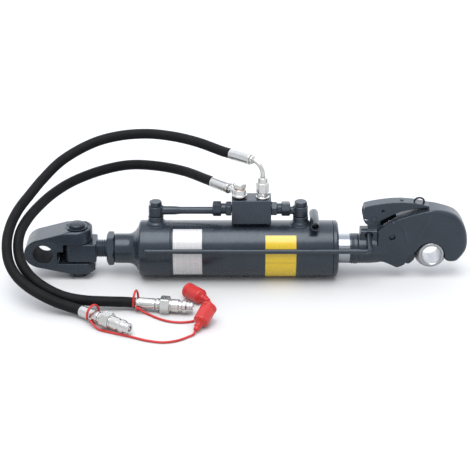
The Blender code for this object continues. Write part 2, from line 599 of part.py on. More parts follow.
# Indicator rod: straight run along the barrel, bent into the hook's side.
R_BEND = 8.0
start = Vector((LEG_END.x - R_BEND, INDICATOR_Y, INDICATOR_Z))
run = [Vector((-147, INDICATOR_Y, INDICATOR_Z)).lerp(start, k / 6) for k in range(7)]
mid = start + LEG * R_BEND
run += [mid + Vector((1, 0, 0)) * R_BEND * math.sin(t) - LEG * R_BEND * math.cos(t)
        for t in [math.pi / 2 * k / 8 for k in range(1, 9)]]
run += [LEG_END - LEG * 18, LEG_END]
attach_tube(tube("indicator_rod", run, INDICATOR_R, 2), "hook", "paint")

# Ball: truncated sphere with a through bore, held in the seat.
b = ball_mesh("hook_ball", BALL, BALL_R, 30, 15)
boolean(b, box("t1", BALL.x - 40, BALL.x + 40, -BALL_W, BALL_W, BALL.z - 40, BALL.z + 40), "INTERSECT")
cut(b, rod("t2", (BALL.x, -40, BALL.z), (BALL.x, 40, BALL.z), BALL_BORE_R, 18))
attach(b, "ball", "zinc")

# Latch: a plate in the pocket whose nose shuts the throat.
outline = [(254, 22), (263, 14), (274, 4), (281, -8), (284, -20), (288, -25), (294.5, -25.5), (301.5, -19),
           (304.5, -12), (302.5, -4), (301, 4), (296, 14), (284, 27), (272, 36), (270, 45), (264, 53),
           (256, 52), (253, 40), (250, 31)]
latch = prism("latch", outline, -8.0, 2.0)
cut(latch, rod("t1", (LATCH_PIVOT.x, -20, LATCH_PIVOT.z), (LATCH_PIVOT.x, 20, LATCH_PIVOT.z), 5.3, 14),
    ball_mesh("t2", BALL, 29.3))
attach(latch, "latch", "paint")
attach(rod("latch_pin", (LATCH_PIVOT.x, -17.6, LATCH_PIVOT.z), (LATCH_PIVOT.x, 20.5, LATCH_PIVOT.z), 5.0, 14),
       "hook", "paint")
coil = [Vector((LATCH_PIVOT.x + 6.9 * math.cos(2 * math.pi * k / 10),
                3.2 + 1.5 * k / 10, LATCH_PIVOT.z + 6.9 * math.sin(2 * math.pi * k / 10)))
        for k in range(0, 28)]
attach_tube(tube("lever_spring", coil, 0.6, 1), "hook", "steel")

# Release lever: a channel over the hook's back, pivoted on the lug.
top_pts = [(217, 81.5), (230, 84.6), (245, 87.2), (260, 88.9), (277, 89.5), (295, 88.0), (310, 85.2), (323, 82)]
low_pts = [(321, 79), (305, 78.2), (289, 76), (273, 72), (258, 64), (243, 56), (224, 47.5), (217.6, 50)]
left = [(213.4, 58), (212, 66), (213.5, 75)]
lever = prism("release_lever", top_pts + low_pts + left, -LEVER_W, LEVER_W)
inner = [(205, 40), (205, 70), (216, 77.5), (230, 81.2), (245, 84.0), (260, 85.8), (277, 86.4), (295, 84.9),
         (306, 82.8), (306, 70), (280, 50), (230, 30)]
cut(lever, prism("t1", inner, -8.0, 8.0),
    rod("t2", (LEVER_PIVOT.x, -20, LEVER_PIVOT.z), (LEVER_PIVOT.x, 20, LEVER_PIVOT.z), 4.3, 14),
    rod("t3", (245.5, -20, 73.6), (245.5, 20, 73.6), 2.6, 10))
attach(lever, "lever", "paint")
pin = turned("lever_pin", [(-12.4, 0), (-12.4, 4.6), (-11.9, 5.2), (-11.3, 5.2), (-11.3, 4.0),
                           (11.3, 4.0), (11.3, 5.2), (11.9, 5.2), (12.4, 4.6), (12.4, 0)],
             LEVER_PIVOT, (0, 1, 0), 12)
attach(pin, "hook", "paint")
loop = [Vector((306 + 8.0 * math.cos(t), 0, 87.0 + 6.6 * math.sin(t))) for t in
        [math.pi * k / 10 for k in range(11)]]
loop = [Vector((314, 0, 84.6))] + loop
loop[-1] = Vector((298, 0, 87.9))
attach_tube(tube("pull_ring", loop, 1.5, 2), "lever", "paint")

# ================================================================ fork end
half = [(-287.5, 0), (-286.4, 12), (-283.2, 18.8), (-279, EYE_R), (-234.5, EYE_R), (-232.7, 20)]
shank = prism("threaded_eye", half + [(x, -y) for x, y in reversed(half[1:])], -EYE_H, EYE_H, "XY")
join(shank, rod("t1", (-238, 0, 0), (-166.0, 0, 0), THREAD_R, 16))
cut(shank, rod("t2", (PIN_X, 0, -30), (PIN_X, 0, 22), PIN_R + GAP, 16))
attach(shank, "shank", "paint")
n = hexagon("lock_nut", (-215.4, 0, 0), (NECK_X - GAP, 0, 0), NUT_AF, math.pi / 6)
cut(n, rod("t1", (-220, 0, 0), (-195, 0, 0), THREAD_R + GAP, 16))
attach(n, "nut", "paint")

# Fork: straight-tapered from the round end to the cheeks; the lower cheek is thinner
# and squared off, and a rib closes the slot's far corner.
turn = [math.radians(72.5) * k / 7 for k in range(8)]
side = [(FORK_BORE_X - 32 * math.cos(t), 27.5 * math.sin(t)) for t in turn]
side += [(-277.5, FORK_H), (-236, FORK_H), (-236, FORK_LOW), (-276, FORK_LOW)]
side += [(FORK_BORE_X - 32 * math.cos(t), -25.6 * math.sin(t)) for t in reversed(turn[1:])]
fork = prism("fork", side, -FORK_W, FORK_W)
w = FORK_W + 1
plan = prism("t1", [(-360, w), (-360, -w), (PIN_X, -w)] + arc(PIN_X, 0, FORK_W, -88, 88, 14) + [(PIN_X, w)],
             -2, 50, "XY")
join(plan, prism("t2", [(-361, w), (-361, -w), (-246.6, -w), (-236.5, -10), (-236.5, 10), (-246.6, w)],
                 -50, -1, "XY"))
boolean(fork, plan, "INTERSECT")
boolean(fork, rod("t2", (-370, 0, 0), (-230, 0, 0), 46.0, 40), "INTERSECT")
slot = [(FORK_SLOT_X, -40), (-230, -40), (-230, 40), (-288, 40), (-288, 17), (FORK_SLOT_X, 17)]
rib = box("t1", FORK_SLOT_X - 2, -287.0, -FORK_W + 0.2, -17.0, 4.5, FORK_SLOT + 2)
cut(fork, prism("t3", slot, -FORK_SLOT, FORK_SLOT, "XY"))
join(fork, rib)
cut(fork,
    rod("t4", (FORK_BORE_X, -40, 0), (FORK_BORE_X, 40, 0), FORK_BORE_R, 18),
    rod("t5", (PIN_X, 0, -60), (PIN_X, 0, 60), PIN_R + GAP, 16),
    rod("t6", (PIN_X, 0, 38.6), (PIN_X, 0, 52.0), 20.6, 18))
attach(fork, "fork", "paint")
attach(turned("fork_pin", [(-47.2, 0), (-47.2, 15.4), (-45.8, 16.8), (-36.8, 16.8), (-36.8, PIN_R),
                           (39.8, PIN_R), (39.8, 12.6), (41.7, 12.6), (41.7, 13.6), (45.6, 13.6),
                           (46.6, 12.4), (46.6, 0)], (PIN_X, 0, 0), (0, 0, 1), 16), "fork", "paint")
ring = arc(PIN_X, 0, 17.9, 20, 340, 14) + arc(PIN_X, 0, 12.95, 340, 20, 14)
attach(prism("clip_top", ring, 40.1, 41.4, "XY"), "fork", "paint")
attach(box("pin_stop", -277.0, -272.4, -24.0, -19.0, -42.5, FORK_LOW - GAP), "fork", "paint")
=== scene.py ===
"""Looks of a hydraulic top link: finely modelled pieces, finishes, studio and camera.

Lengths are in millimetres on the cylinder's axes (X along the barrel towards the
hook, Z up, zero on the barrel's axis); SHIFT takes them to the part's own frame.
"""
import math

import bmesh
import bpy
from mathutils import Matrix, Vector, noise


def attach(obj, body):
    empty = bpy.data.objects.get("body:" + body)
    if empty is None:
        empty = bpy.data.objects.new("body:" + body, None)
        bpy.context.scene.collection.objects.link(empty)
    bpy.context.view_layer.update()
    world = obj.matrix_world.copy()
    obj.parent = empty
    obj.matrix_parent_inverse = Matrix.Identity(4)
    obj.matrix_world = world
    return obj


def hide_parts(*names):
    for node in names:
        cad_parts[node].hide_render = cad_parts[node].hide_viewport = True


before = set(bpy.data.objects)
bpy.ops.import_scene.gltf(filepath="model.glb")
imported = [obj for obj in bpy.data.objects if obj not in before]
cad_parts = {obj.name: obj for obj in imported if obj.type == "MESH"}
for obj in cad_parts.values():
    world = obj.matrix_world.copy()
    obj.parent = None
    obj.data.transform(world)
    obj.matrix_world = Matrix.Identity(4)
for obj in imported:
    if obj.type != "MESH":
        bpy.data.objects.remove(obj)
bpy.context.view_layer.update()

SHIFT = Vector((-18.0, 3.6, 47.8))
MM = 0.001
X, Y, Z = Vector((1, 0, 0)), Vector((0, 1, 0)), Vector((0, 0, 1))


def row(p):
    return (Vector(p) + SHIFT) * MM


# ------------------------------------------------------------------ camera first
ELEV = math.radians(26.0)
AIM = row((0.0, 0.0, 24.7))
cam_data = bpy.data.cameras.new("camera")
cam_data.lens = 104.8
cam_data.sensor_width = 36.0
cam_data.clip_end = 50.0
cam = bpy.data.objects.new("camera", cam_data)
bpy.context.scene.collection.objects.link(cam)
cam.location = AIM + Vector((0, -math.cos(ELEV), math.sin(ELEV))) * 2.300
cam.rotation_euler = (math.radians(90) - ELEV, 0, 0)
bpy.context.scene.camera = cam

# ------------------------------------------------------------------ mesh helpers


def new_mesh(name, verts, faces, smooth=30.0, uvs=None):
    me = bpy.data.meshes.new(name)
    me.from_pydata([tuple(row(v)) for v in verts], [], faces)
    if uvs is not None:
        layer = me.uv_layers.new(name="UVMap")
        for loop in me.loops:
            layer.data[loop.index].uv = uvs[loop.vertex_index]
    bm = bmesh.new()
    bm.from_mesh(me)
    bmesh.ops.recalc_face_normals(bm, faces=bm.faces[:])
    bm.to_mesh(me)
    bm.free()
    ob = bpy.data.objects.new(name, me)
    bpy.context.scene.collection.objects.link(ob)
    shade(ob, smooth)
    return ob


def shade(ob, angle=30.0):
    ob.data.shade_smooth()
    ob.data.set_sharp_from_angle(angle=math.radians(angle))
    return ob


def basis(direction):
    d = Vector(direction).normalized()
    up = Z if abs(d.z) < 0.9 else Y
    u = (up - d * up.dot(d)).normalized()
    return d, u, d.cross(u)


def soft(profile, r=0.6, k=3, closed=False):
    """Rounds a profile's corners. A point may carry its own radius as a third number."""
    n = len(profile)
    out = []
    for i, p in enumerate(profile):
        rr = p[2] if len(p) > 2 else r
        a = Vector(profile[i - 1][:2]) if (i > 0 or closed) else None
        b = Vector(p[:2])
        c = Vector(profile[(i + 1) % n][:2]) if (i < n - 1 or closed) else None
        if a is None or c is None or rr <= 0:
            out.append((b.x, b.y))
            continue
        da, dc = (a - b).length, (c - b).length
        d = min(rr, da * 0.45, dc * 0.45)
        if d < 1e-4:
            out.append((b.x, b.y))
            continue
        p0, p2 = b + (a - b).normalized() * d, b + (c - b).normalized() * d
        for j in range(k + 1):
            t = j / k
            q = p0 * (1 - t) ** 2 + b * (2 * t * (1 - t)) + p2 * t * t
            out.append((q.x, q.y))
    return out


def turned(name, profile, at=(0, 0, 0), along=X, n=96, closed=False, angle=30.0, wobble=None):
    """A profile of (distance, radius) turned round a line. closed joins its ends, as for a ring."""
    at = Vector(at)
    d, u, w = basis(along)
    verts, rings = [], []
    for s, r in profile:
        if r <= 1e-6:
            rings.append([len(verts)])
            verts.append(at + d * s)
            continue
        rings.append(list(range(len(verts), len(verts) + n)))
        for k in range(n):
            a = 2 * math.pi * k / n
            rr = r if wobble is None else wobble(s, a, r)
            verts.append(at + d * s + (u * math.cos(a) + w * math.sin(a)) * rr)
    faces = []
    for i in range(len(rings) if closed else len(rings) - 1):
        p, q = rings[i], rings[(i + 1) % len(rings)]
        if len(p) == 1 and len(q) == 1:
            continue
        for k in range(n):
            j = (k + 1) % n
            if len(p) == 1:
                faces.append((p[0], q[k], q[j]))
            elif len(q) == 1:
                faces.append((p[k], q[0], p[j]))
            else:
                faces.append((p[k], q[k], q[j], p[j]))
    return new_mesh(name, verts, faces, angle)


def disc_ended(profile):
    """Closes a profile onto the axis at both ends."""
    return [(profile[0][0], 0.0)] + list(profile) + [(profile[-1][0], 0.0)]


def hexbody(name, at, along, length, flats, turn=0.0, chamfer=(True, True), bore=None, n=96, face=0.96):
    """A hexagon bar with turned chamfers, solid or with a bore."""
    at = Vector(at)
    d, u, w = basis(along)
    corner = flats / math.sqrt(3)
    low = flats / 2 * face
    c = (corner - low) / math.tan(math.radians(60)) * 1.02
    stations = []
    for k in range(9):
        s = c * k / 8
        stations.append((s, low + s * math.tan(math.radians(60)) if chamfer[0] else corner + 1))
    for k in range(9):
        s = c * (1 - k / 8)
        stations.append((length - s, low + s * math.tan(math.radians(60)) if chamfer[1] else corner + 1))
    stations = [(0.0, stations[0][1] - 0.25)] + [(s + 0.12, r) for s, r in stations[:9]] + \
               [(s - 0.12, r) for s, r in stations[9:]] + [(length, stations[-1][1] - 0.25)]
    verts, rings = [], []

    def ring(s, radius):
        rings.append(list(range(len(verts), len(verts) + n)))
        for k in range(n):
            a = 2 * math.pi * k / n
            rad = radius(a)
            verts.append(at + d * s + (u * math.cos(a + turn) + w * math.sin(a + turn)) * rad)

    def hexr(a):
        t = (a % (math.pi / 3)) - math.pi / 6
        r = flats / 2 / math.cos(t)
        edge = corner - 0.35
        return r if r < edge else edge + (r - edge) * 0.35

    for s, cap in stations:
        ring(s, lambda a, cap=cap: min(hexr(a), cap))
    faces = []
    if bore is None:
        c0, c1 = len(verts), len(verts) + 1
        verts.append(at)
        verts.append(at + d * length)
        for k in range(n):
            j = (k + 1) % n
            faces.append((c0, rings[0][j], rings[0][k]))
            faces.append((c1, rings[-1][k], rings[-1][j]))
    else:
        for s, r in ((length, bore + 0.8), (length - 0.8, bore), (0.8, bore), (0.0, bore + 0.8)):
            ring(s, lambda a, r=r: r)
        p, q = rings[-1], rings[0]
        for k in range(n):
            j = (k + 1) % n
            faces.append((p[k], q[k], q[j], p[j]))
    for p, q in zip(rings[:-1], rings[1:]):
        for k in range(n):
            j = (k + 1) % n
            faces.append((p[k], q[k], q[j], p[j]))
    return new_mesh(name, verts, faces, 22.0)


def frames_along(points):
    """Directions and steady side vectors along a path."""
    pts = [Vector(p) for p in points]
    tans = []
    for i in range(len(pts)):
        a, b = pts[max(i - 1, 0)], pts[min(i + 1, len(pts) - 1)]
        tans.append((b - a).normalized())
    _, u, _ = basis(tans[0])
    out = []
    for i, t in enumerate(tans):
        u = (u - t * u.dot(t)).normalized()
        out.append((pts[i], t, u, t.cross(u)))
    return out


def tube(name, points, r, n=20, ends="flat", shape=None, loop=False):
    """A tube along a path. r is a number or a function of (distance, angle)."""
    fr = frames_along(points)
    run = [0.0]
    for a, b in zip(fr[:-1], fr[1:]):
        run.append(run[-1] + (b[0] - a[0]).length)
    verts, uvs, rings = [], [], []
    for i, (p, t, u, w) in enumerate(fr):
        rings.append(list(range(len(verts), len(verts) + n)))
        for k in range(n):
            a = 2 * math.pi * k / n
            rad = r(run[i], a) if callable(r) else r
            v = (u * math.cos(a) + w * math.sin(a)) * rad
            if shape is not None:
                v = shape(v, t, u, w, run[i])
            verts.append(p + v)
            uvs.append((k / n, run[i] * MM))
    faces = []
    for p, q in zip(rings[:-1], rings[1:]):
        for k in range(n):
            j = (k + 1) % n
            faces.append((p[k], q[k], q[j], p[j]))
    if loop:
        # meets its own start at the turn that fits best
        p, q = rings[-1], rings[0]
        best = min(range(n), key=lambda s: (verts[p[0]] - verts[q[s]]).length)
        for k in range(n):
            j = (k + 1) % n
            faces.append((p[k], q[(k + best) % n], q[(j + best) % n], p[j]))
    else:
        for ring, (p, t, u, w), sgn in ((rings[0], fr[0], -1), (rings[-1], fr[-1], 1)):
            last = ring
            if ends == "round":
                rad = (verts[ring[0]] - p).length
                for m in range(1, 5):
                    a = math.pi / 2 * m / 5
                    cur = list(range(len(verts), len(verts) + n))
                    for k in range(n):
                        base = verts[ring[k]] - p
                        verts.append(p + base * math.cos(a) + t * (sgn * rad * math.sin(a)))
                        uvs.append((k / n, 0.0))
                    for k in range(n):
                        j = (k + 1) % n
                        faces.append((last[k], cur[k], cur[j], last[j]))
                    last = cur
                tip = p + t * (sgn * rad)
            else:
                tip = p
            c = len(verts)
            verts.append(tip)
            uvs.append((0.5, 0.0))
            for k in range(n):
                faces.append((c, last[k], last[(k + 1) % n]))
    return new_mesh(name, verts, faces, 40.0, uvs)


def smooth_route(points, step):
    """Evenly spaced points on a centripetal Catmull-Rom curve through the points."""
    p = [Vector(q) for q in points]
    p = [p[0] * 2 - p[1]] + p + [p[-1] * 2 - p[-2]]
    dense = []
    for i in range(1, len(p) - 2):
        a, b, c, d = p[i - 1], p[i], p[i + 1], p[i + 2]
        t1 = (b - a).length ** 0.5
        t2 = t1 + (c - b).length ** 0.5
        t3 = t2 + (d - c).length ** 0.5
        for k in range(24):
            t = t1 + (t2 - t1) * k / 24
            a1 = a * ((t1 - t) / t1) + b * (t / t1)
            a2 = b * ((t2 - t) / (t2 - t1)) + c * ((t - t1) / (t2 - t1))
            a3 = c * ((t3 - t) / (t3 - t2)) + d * ((t - t2) / (t3 - t2))
            b1 = a1 * ((t2 - t) / t2) + a2 * (t / t2)
            b2 = a2 * ((t3 - t) / (t3 - t1)) + a3 * ((t - t1) / (t3 - t1))
            dense.append(b1 * ((t2 - t) / (t2 - t1)) + b2 * ((t - t1) / (t2 - t1)))
    dense.append(p[-2])
    run = [0.0]
    for i in range(1, len(dense)):
        run.append(run[-1] + (dense[i] - dense[i - 1]).length)
    count = max(2, round(run[-1] / step))
    out, i = [], 0
    for k in range(count + 1):
        s = run[-1] * k / count
        while i < len(run) - 2 and run[i + 1] < s:
            i += 1
        f = (s - run[i]) / max(run[i + 1] - run[i], 1e-9)
        out.append(dense[i].lerp(dense[i + 1], min(max(f, 0.0), 1.0)))
    return out


def arc(cx, cy, r, a0, a1, n):
    return [(cx + r * math.cos(math.radians(a0 + (a1 - a0) * k / n)),
             cy + r * math.sin(math.radians(a0 + (a1 - a0) * k / n))) for k in range(n + 1)]


def prism(name, outline, lo, hi, plane="XZ", bevel=0.0, segments=3):
    verts = []
    for t in (lo, hi):
        for a, b in outline:
            verts.append((a, t, b) if plane == "XZ" else (a, b, t) if plane == "XY" else (t, a, b))
    n = len(outline)
    faces = [tuple(range(n)), tuple(range(2 * n - 1, n - 1, -1))]
    faces += [(k, (k + 1) % n, n + (k + 1) % n, n + k) for k in range(n)]
    ob = new_mesh(name, verts, faces)
    if bevel > 0:
        bm = bmesh.new()
        bm.from_mesh(ob.data)
        rim = [e for e in bm.edges if any(len(f.verts) > 4 for f in e.link_faces)] if n > 4 else bm.edges[:]
        bmesh.ops.bevel(bm, geom=rim, offset=bevel * MM, segments=segments, profile=0.5,
                        affect="EDGES", clamp_overlap=True)
        bm.to_mesh(ob.data)
        bm.free()
        shade(ob)
    return ob


def block(name, x0, x1, y0, y1, z0, z1, bevel=0.0, segments=3):
    return prism(name, [(x0, z0), (x1, z0), (x1, z1), (x0, z1)], y0, y1, "XZ", bevel, segments)


def rod(name, p, q, r, n=64):
    p, q = Vector(p), Vector(q)
    h = (q - p).length
    return turned(name, [(0, 0), (0, r), (h, r), (h, 0)], p, q - p, n)


def sphere(name, at, r, n=96, m=48):
    prof = [(-r * math.cos(math.pi * k / m), r * math.sin(math.pi * k / m)) for k in range(m + 1)]
    prof[0], prof[-1] = (-r, 0.0), (r, 0.0)
    return turned(name, prof, at, Y, n)


def open_edges(me):
    bm = bmesh.new()
    bm.from_mesh(me)
    n = sum(1 for e in bm.edges if len(e.link_faces) != 2)
    bm.free()
    return n


def evaluated(ob):
    bpy.context.view_layer.update()
    deps = bpy.context.evaluated_depsgraph_get()
    return bpy.data.meshes.new_from_object(ob.evaluated_get(deps))


def boolean(target, tool, kind="DIFFERENCE"):
    for solver in ("EXACT", "MANIFOLD"):
        m = target.modifiers.new("cut", "BOOLEAN")
        m.operation, m.solver, m.object = kind, solver, tool
        me = evaluated(target)
        target.modifiers.clear()
        if me.polygons and not open_edges(me):
            break
    target.data = me
    bpy.data.objects.remove(tool, do_unlink=True)
    return target


def cut(target, *tools):
    for t in tools:
        boolean(target, t)
    return target


def join(target, *tools):
    for t in tools:
        boolean(target, t, "UNION")
    return target


def merge(name, *obs):
    """Several closed shapes as one piece."""
    bm = bmesh.new()
    for o in obs:
        bm.from_mesh(o.data)
    me = bpy.data.meshes.new(name)
    bm.to_mesh(me)
    bm.free()
    for o in obs:
        bpy.data.objects.remove(o, do_unlink=True)
    ob = bpy.data.objects.new(name, me)
    bpy.context.scene.collection.objects.link(ob)
    return ob


def cast(ob, voxel=0.8, rounds=6, factor=0.5, angle=60.0):
    """Rounds a shape's edges as on a casting or forging: remeshed finely, then relaxed."""
    m = ob.modifiers.new("fine", "REMESH")
    m.mode, m.voxel_size = "VOXEL", voxel * MM
    ob.data = evaluated(ob)
    ob.modifiers.clear()
    m = ob.modifiers.new("relax", "SMOOTH")
    m.factor, m.iterations = factor, rounds
    ob.data = evaluated(ob)
    ob.modifiers.clear()
    bm = bmesh.new()
    bm.from_mesh(ob.data)
    loose = [v for v in bm.verts if not v.link_faces]
    bmesh.ops.delete(bm, geom=loose, context="VERTS")
    bm.to_mesh(ob.data)
    bm.free()
    return shade(ob, angle)


# ------------------------------------------------------------------ materials


def finish_of(name, base, rough, metal=0.0):
    m = bpy.data.materials.new(name)
    m.use_nodes = True
    nt = m.node_tree
    b = nt.nodes["Principled BSDF"]
    b.inputs["Metallic"].default_value = metal
    b.inputs["Base Color"].default_value = (*base, 1)
    b.inputs["Roughness"].default_value = rough
    return m, nt, b


def put(nt, kind, **props):
    n = nt.nodes.new(kind)
    for k, v in props.items():
        if k.startswith("_"):
            n.inputs[k[1:].replace("_", " ")].default_value = v
        else:
            setattr(n, k, v)
    return n


def object_coords(nt, scale=(1, 1, 1)):
    tc = put(nt, "ShaderNodeTexCoord")
    mp = put(nt, "ShaderNodeMapping")
    mp.inputs["Scale"].default_value = scale
    nt.links.new(tc.outputs["Object"], mp.inputs["Vector"])
    return mp.outputs["Vector"]


def noise_of(nt, vec, scale, detail=3.0, rough=0.5):
    n = put(nt, "ShaderNodeTexNoise")
    n.inputs["Scale"].default_value = scale
    n.inputs["Detail"].default_value = detail
    n.inputs["Roughness"].default_value = rough
    nt.links.new(vec, n.inputs["Vector"])
    return n.outputs["Fac"]


def remap(nt, fac, lo, hi, a=0.3, b=0.7):
    n = put(nt, "ShaderNodeMapRange")
    n.inputs["From Min"].default_value, n.inputs["From Max"].default_value = a, b
    n.inputs["To Min"].default_value, n.inputs["To Max"].default_value = lo, hi
    nt.links.new(fac, n.inputs["Value"])
    return n.outputs["Result"]


def mixed(nt, fac, c1, c2):
    n = put(nt, "ShaderNodeMix", data_type="RGBA")
    for sock, c in ((n.inputs[6], c1), (n.inputs[7], c2)):
        if isinstance(c, tuple):
            sock.default_value = (*c, 1.0)
        else:
            nt.links.new(c, sock)
    if isinstance(fac, float):
        n.inputs[0].default_value = fac
    else:
        nt.links.new(fac, n.inputs[0])
    return n.outputs[2]


def bumped(nt, b, heights):
    """heights is [(field, strength, distance in mm)], from the coarsest to the finest."""
    normal = None
    for field, strength, dist in heights:
        n = put(nt, "ShaderNodeBump")
        n.inputs["Strength"].default_value = strength
        n.inputs["Distance"].default_value = dist * MM
        nt.links.new(field, n.inputs["Height"])
        if normal is not None:
            nt.links.new(normal, n.inputs["Normal"])
        normal = n.outputs["Normal"]
    nt.links.new(normal, b.inputs["Normal"])


def paint(name, base=(0.016, 0.021, 0.029), rough=(0.24, 0.32), cast_skin=0.0, coat=0.15):
    """Semi-gloss graphite paint: fine orange peel, thin spots on edges."""
    m, nt, b = finish_of(name, base, 0.36)
    v = object_coords(nt)
    big = noise_of(nt, v, 22, 4)
    mid = noise_of(nt, v, 150, 4)
    fine = noise_of(nt, v, 900, 2)
    dark = tuple(c * 0.86 for c in base)
    light = tuple(min(1, c * 1.16) for c in base)
    col = mixed(nt, remap(nt, big, 0, 1, 0.35, 0.68), dark, light)
    geo = put(nt, "ShaderNodeNewGeometry")
    edge = remap(nt, geo.outputs["Pointiness"], 0.0, 0.55, 0.515, 0.60)
    mul = put(nt, "ShaderNodeMath", operation="MULTIPLY")
    nt.links.new(edge, mul.inputs[0])
    nt.links.new(remap(nt, mid, 0.25, 1.0, 0.35, 0.6), mul.inputs[1])
    col = mixed(nt, mul.outputs[0], col, tuple(min(1, c * 1.6 + 0.004) for c in base))
    nt.links.new(col, b.inputs["Base Color"])
    nt.links.new(remap(nt, mid, rough[0], rough[1]), b.inputs["Roughness"])
    b.inputs["Coat Weight"].default_value = coat
    b.inputs["Coat Roughness"].default_value = 0.16
    b.inputs["Specular IOR Level"].default_value = 0.42
    b.inputs["Specular Tint"].default_value = (0.80, 0.90, 1.0, 1)
    heights = [(fine, 0.10, 0.06)]
    if cast_skin > 0:
        heights = [(noise_of(nt, v, 420, 5, 0.6), cast_skin, 0.5)] + heights
    bumped(nt, b, heights)
    return m


def plated(name, base=(0.78, 0.79, 0.80), rough=(0.16, 0.34), tint=(0.86, 0.84, 0.78), streak=None):
    """Bright zinc plate: slightly cloudy, faint yellow passivation, fine turning marks."""
    m, nt, b = finish_of(name, base, 0.25, 1.0)
    v = object_coords(nt)
    cloud = noise_of(nt, v, 60, 4)
    fine = noise_of(nt, v, 700, 3)
    nt.links.new(mixed(nt, remap(nt, cloud, 0, 0.8, 0.4, 0.7), base, tint), b.inputs["Base Color"])
    nt.links.new(remap(nt, noise_of(nt, v, 130, 4), rough[0], rough[1]), b.inputs["Roughness"])
    heights = [(fine, 0.12, 0.05)]
    if streak is not None:
        turn = object_coords(nt, streak)
        heights.append((noise_of(nt, turn, 1.0, 2), 0.10, 0.04))
    bumped(nt, b, heights)
    return m


M = {}
M["paint"] = paint("graphite_paint")
M["paint_cast"] = paint("graphite_paint_on_forging", cast_skin=0.05, coat=0.12)
# Painted shade: a near-black paint with almost no reflection, put inside the fork's bore and slot to stand in for the
# shade there.
M["paint_shade"] = paint("graphite_paint_painted_shade", base=(0.012, 0.013, 0.015), rough=(0.6, 0.75), coat=0.0)
M["paint_shade"].node_tree.nodes["Principled BSDF"].inputs["Specular IOR Level"].default_value = 0.08
M["paint_pipe"] = paint("graphite_paint_on_pipe", rough=(0.26, 0.38))
M["zinc"] = plated("bright_zinc", base=(0.56, 0.56, 0.55), tint=(0.58, 0.565, 0.52), rough=(0.22, 0.30))
M["zinc_ball"] = plated("zinc_on_ball", base=(0.36, 0.365, 0.375), tint=(0.33, 0.33, 0.34), rough=(0.26, 0.40))
M["steel"] = plated("machined_steel", base=(0.50, 0.50, 0.51), tint=(0.46, 0.46, 0.46), rough=(0.22, 0.36))
M["copper"] = plated("copper", base=(0.72, 0.34, 0.20), tint=(0.60, 0.26, 0.14), rough=(0.2, 0.36))
M["dark_steel"] = plated("blackened_steel", base=(0.035, 0.036, 0.040), tint=(0.05, 0.05, 0.055), rough=(0.3, 0.45))


def chrome():
    m, nt, b = finish_of("hard_chrome", (0.31, 0.33, 0.36), 0.06, 1.0)
    v = object_coords(nt, (1400, 20, 20))
    grind = noise_of(nt, v, 1.0, 3)
    nt.links.new(remap(nt, grind, 0.04, 0.12), b.inputs["Roughness"])
    nt.links.new(mixed(nt, remap(nt, grind, 0, 1), (0.29, 0.305, 0.335), (0.34, 0.355, 0.385)), b.inputs["Base Color"])
    bumped(nt, b, [(grind, 0.05, 0.01)])
    return m


M["chrome"] = chrome()


def hose_rubber():
    """Synthetic rubber cover with the print of its wrapping cloth."""
    m, nt, b = finish_of("hose_cover", (0.008, 0.008, 0.009), 0.6)
    uv = put(nt, "ShaderNodeUVMap", uv_map="UVMap")
    heights, cols = [], []
    for ang, su, sv in ((1, 46, 900), (-1, 46, 900)):
        sep = put(nt, "ShaderNodeSeparateXYZ")
        nt.links.new(uv.outputs["UV"], sep.inputs[0])
        a = put(nt, "ShaderNodeMath", operation="MULTIPLY")
        a.inputs[1].default_value = su * ang
        nt.links.new(sep.outputs["X"], a.inputs[0])
        c = put(nt, "ShaderNodeMath", operation="MULTIPLY")
        c.inputs[1].default_value = sv
        nt.links.new(sep.outputs["Y"], c.inputs[0])
        s = put(nt, "ShaderNodeMath", operation="ADD")
        nt.links.new(a.outputs[0], s.inputs[0])
        nt.links.new(c.outputs[0], s.inputs[1])
        w = put(nt, "ShaderNodeMath", operation="MULTIPLY")
        w.inputs[1].default_value = 2 * math.pi
        nt.links.new(s.outputs[0], w.inputs[0])
        sn = put(nt, "ShaderNodeMath", operation="SINE")
        nt.links.new(w.outputs[0], sn.inputs[0])
        heights.append(sn.outputs[0])
    tot = put(nt, "ShaderNodeMath", operation="MULTIPLY")
    nt.links.new(heights[0], tot.inputs[0])
    nt.links.new(heights[1], tot.inputs[1])
    v = object_coords(nt)
    cloud = noise_of(nt, v, 45, 4)
    nt.links.new(mixed(nt, remap(nt, cloud, 0, 1), (0.005, 0.005, 0.006), (0.009, 0.009, 0.010)), b.inputs["Base Color"])
    nt.links.new(remap(nt, noise_of(nt, v, 260, 3), 0.42, 0.60), b.inputs["Roughness"])
    b.inputs["Specular IOR Level"].default_value = 0.10
    bumped(nt, b, [(noise_of(nt, v, 380, 4), 0.22, 0.25), (tot.outputs[0], 0.35, 0.10)])
    return m


M["hose"] = hose_rubber()


def soft_red():
    m, nt, b = finish_of("red_soft_plastic", (0.50, 0.013, 0.011), 0.35)
    v = object_coords(nt)
    nt.links.new(mixed(nt, remap(nt, noise_of(nt, v, 50, 3), 0, 1), (0.40, 0.006, 0.005), (0.50, 0.012, 0.009)),
                 b.inputs["Base Color"])
    nt.links.new(remap(nt, noise_of(nt, v, 200, 3), 0.28, 0.44), b.inputs["Roughness"])
    b.inputs["Subsurface Weight"].default_value = 0.12
    b.inputs["Subsurface Radius"].default_value = (0.004, 0.0008, 0.0006)
    b.inputs["Coat Weight"].default_value = 0.15
    b.inputs["Coat Roughness"].default_value = 0.2
    bumped(nt, b, [(noise_of(nt, v, 500, 2), 0.12, 0.10)])
    return m


M["red"] = soft_red()


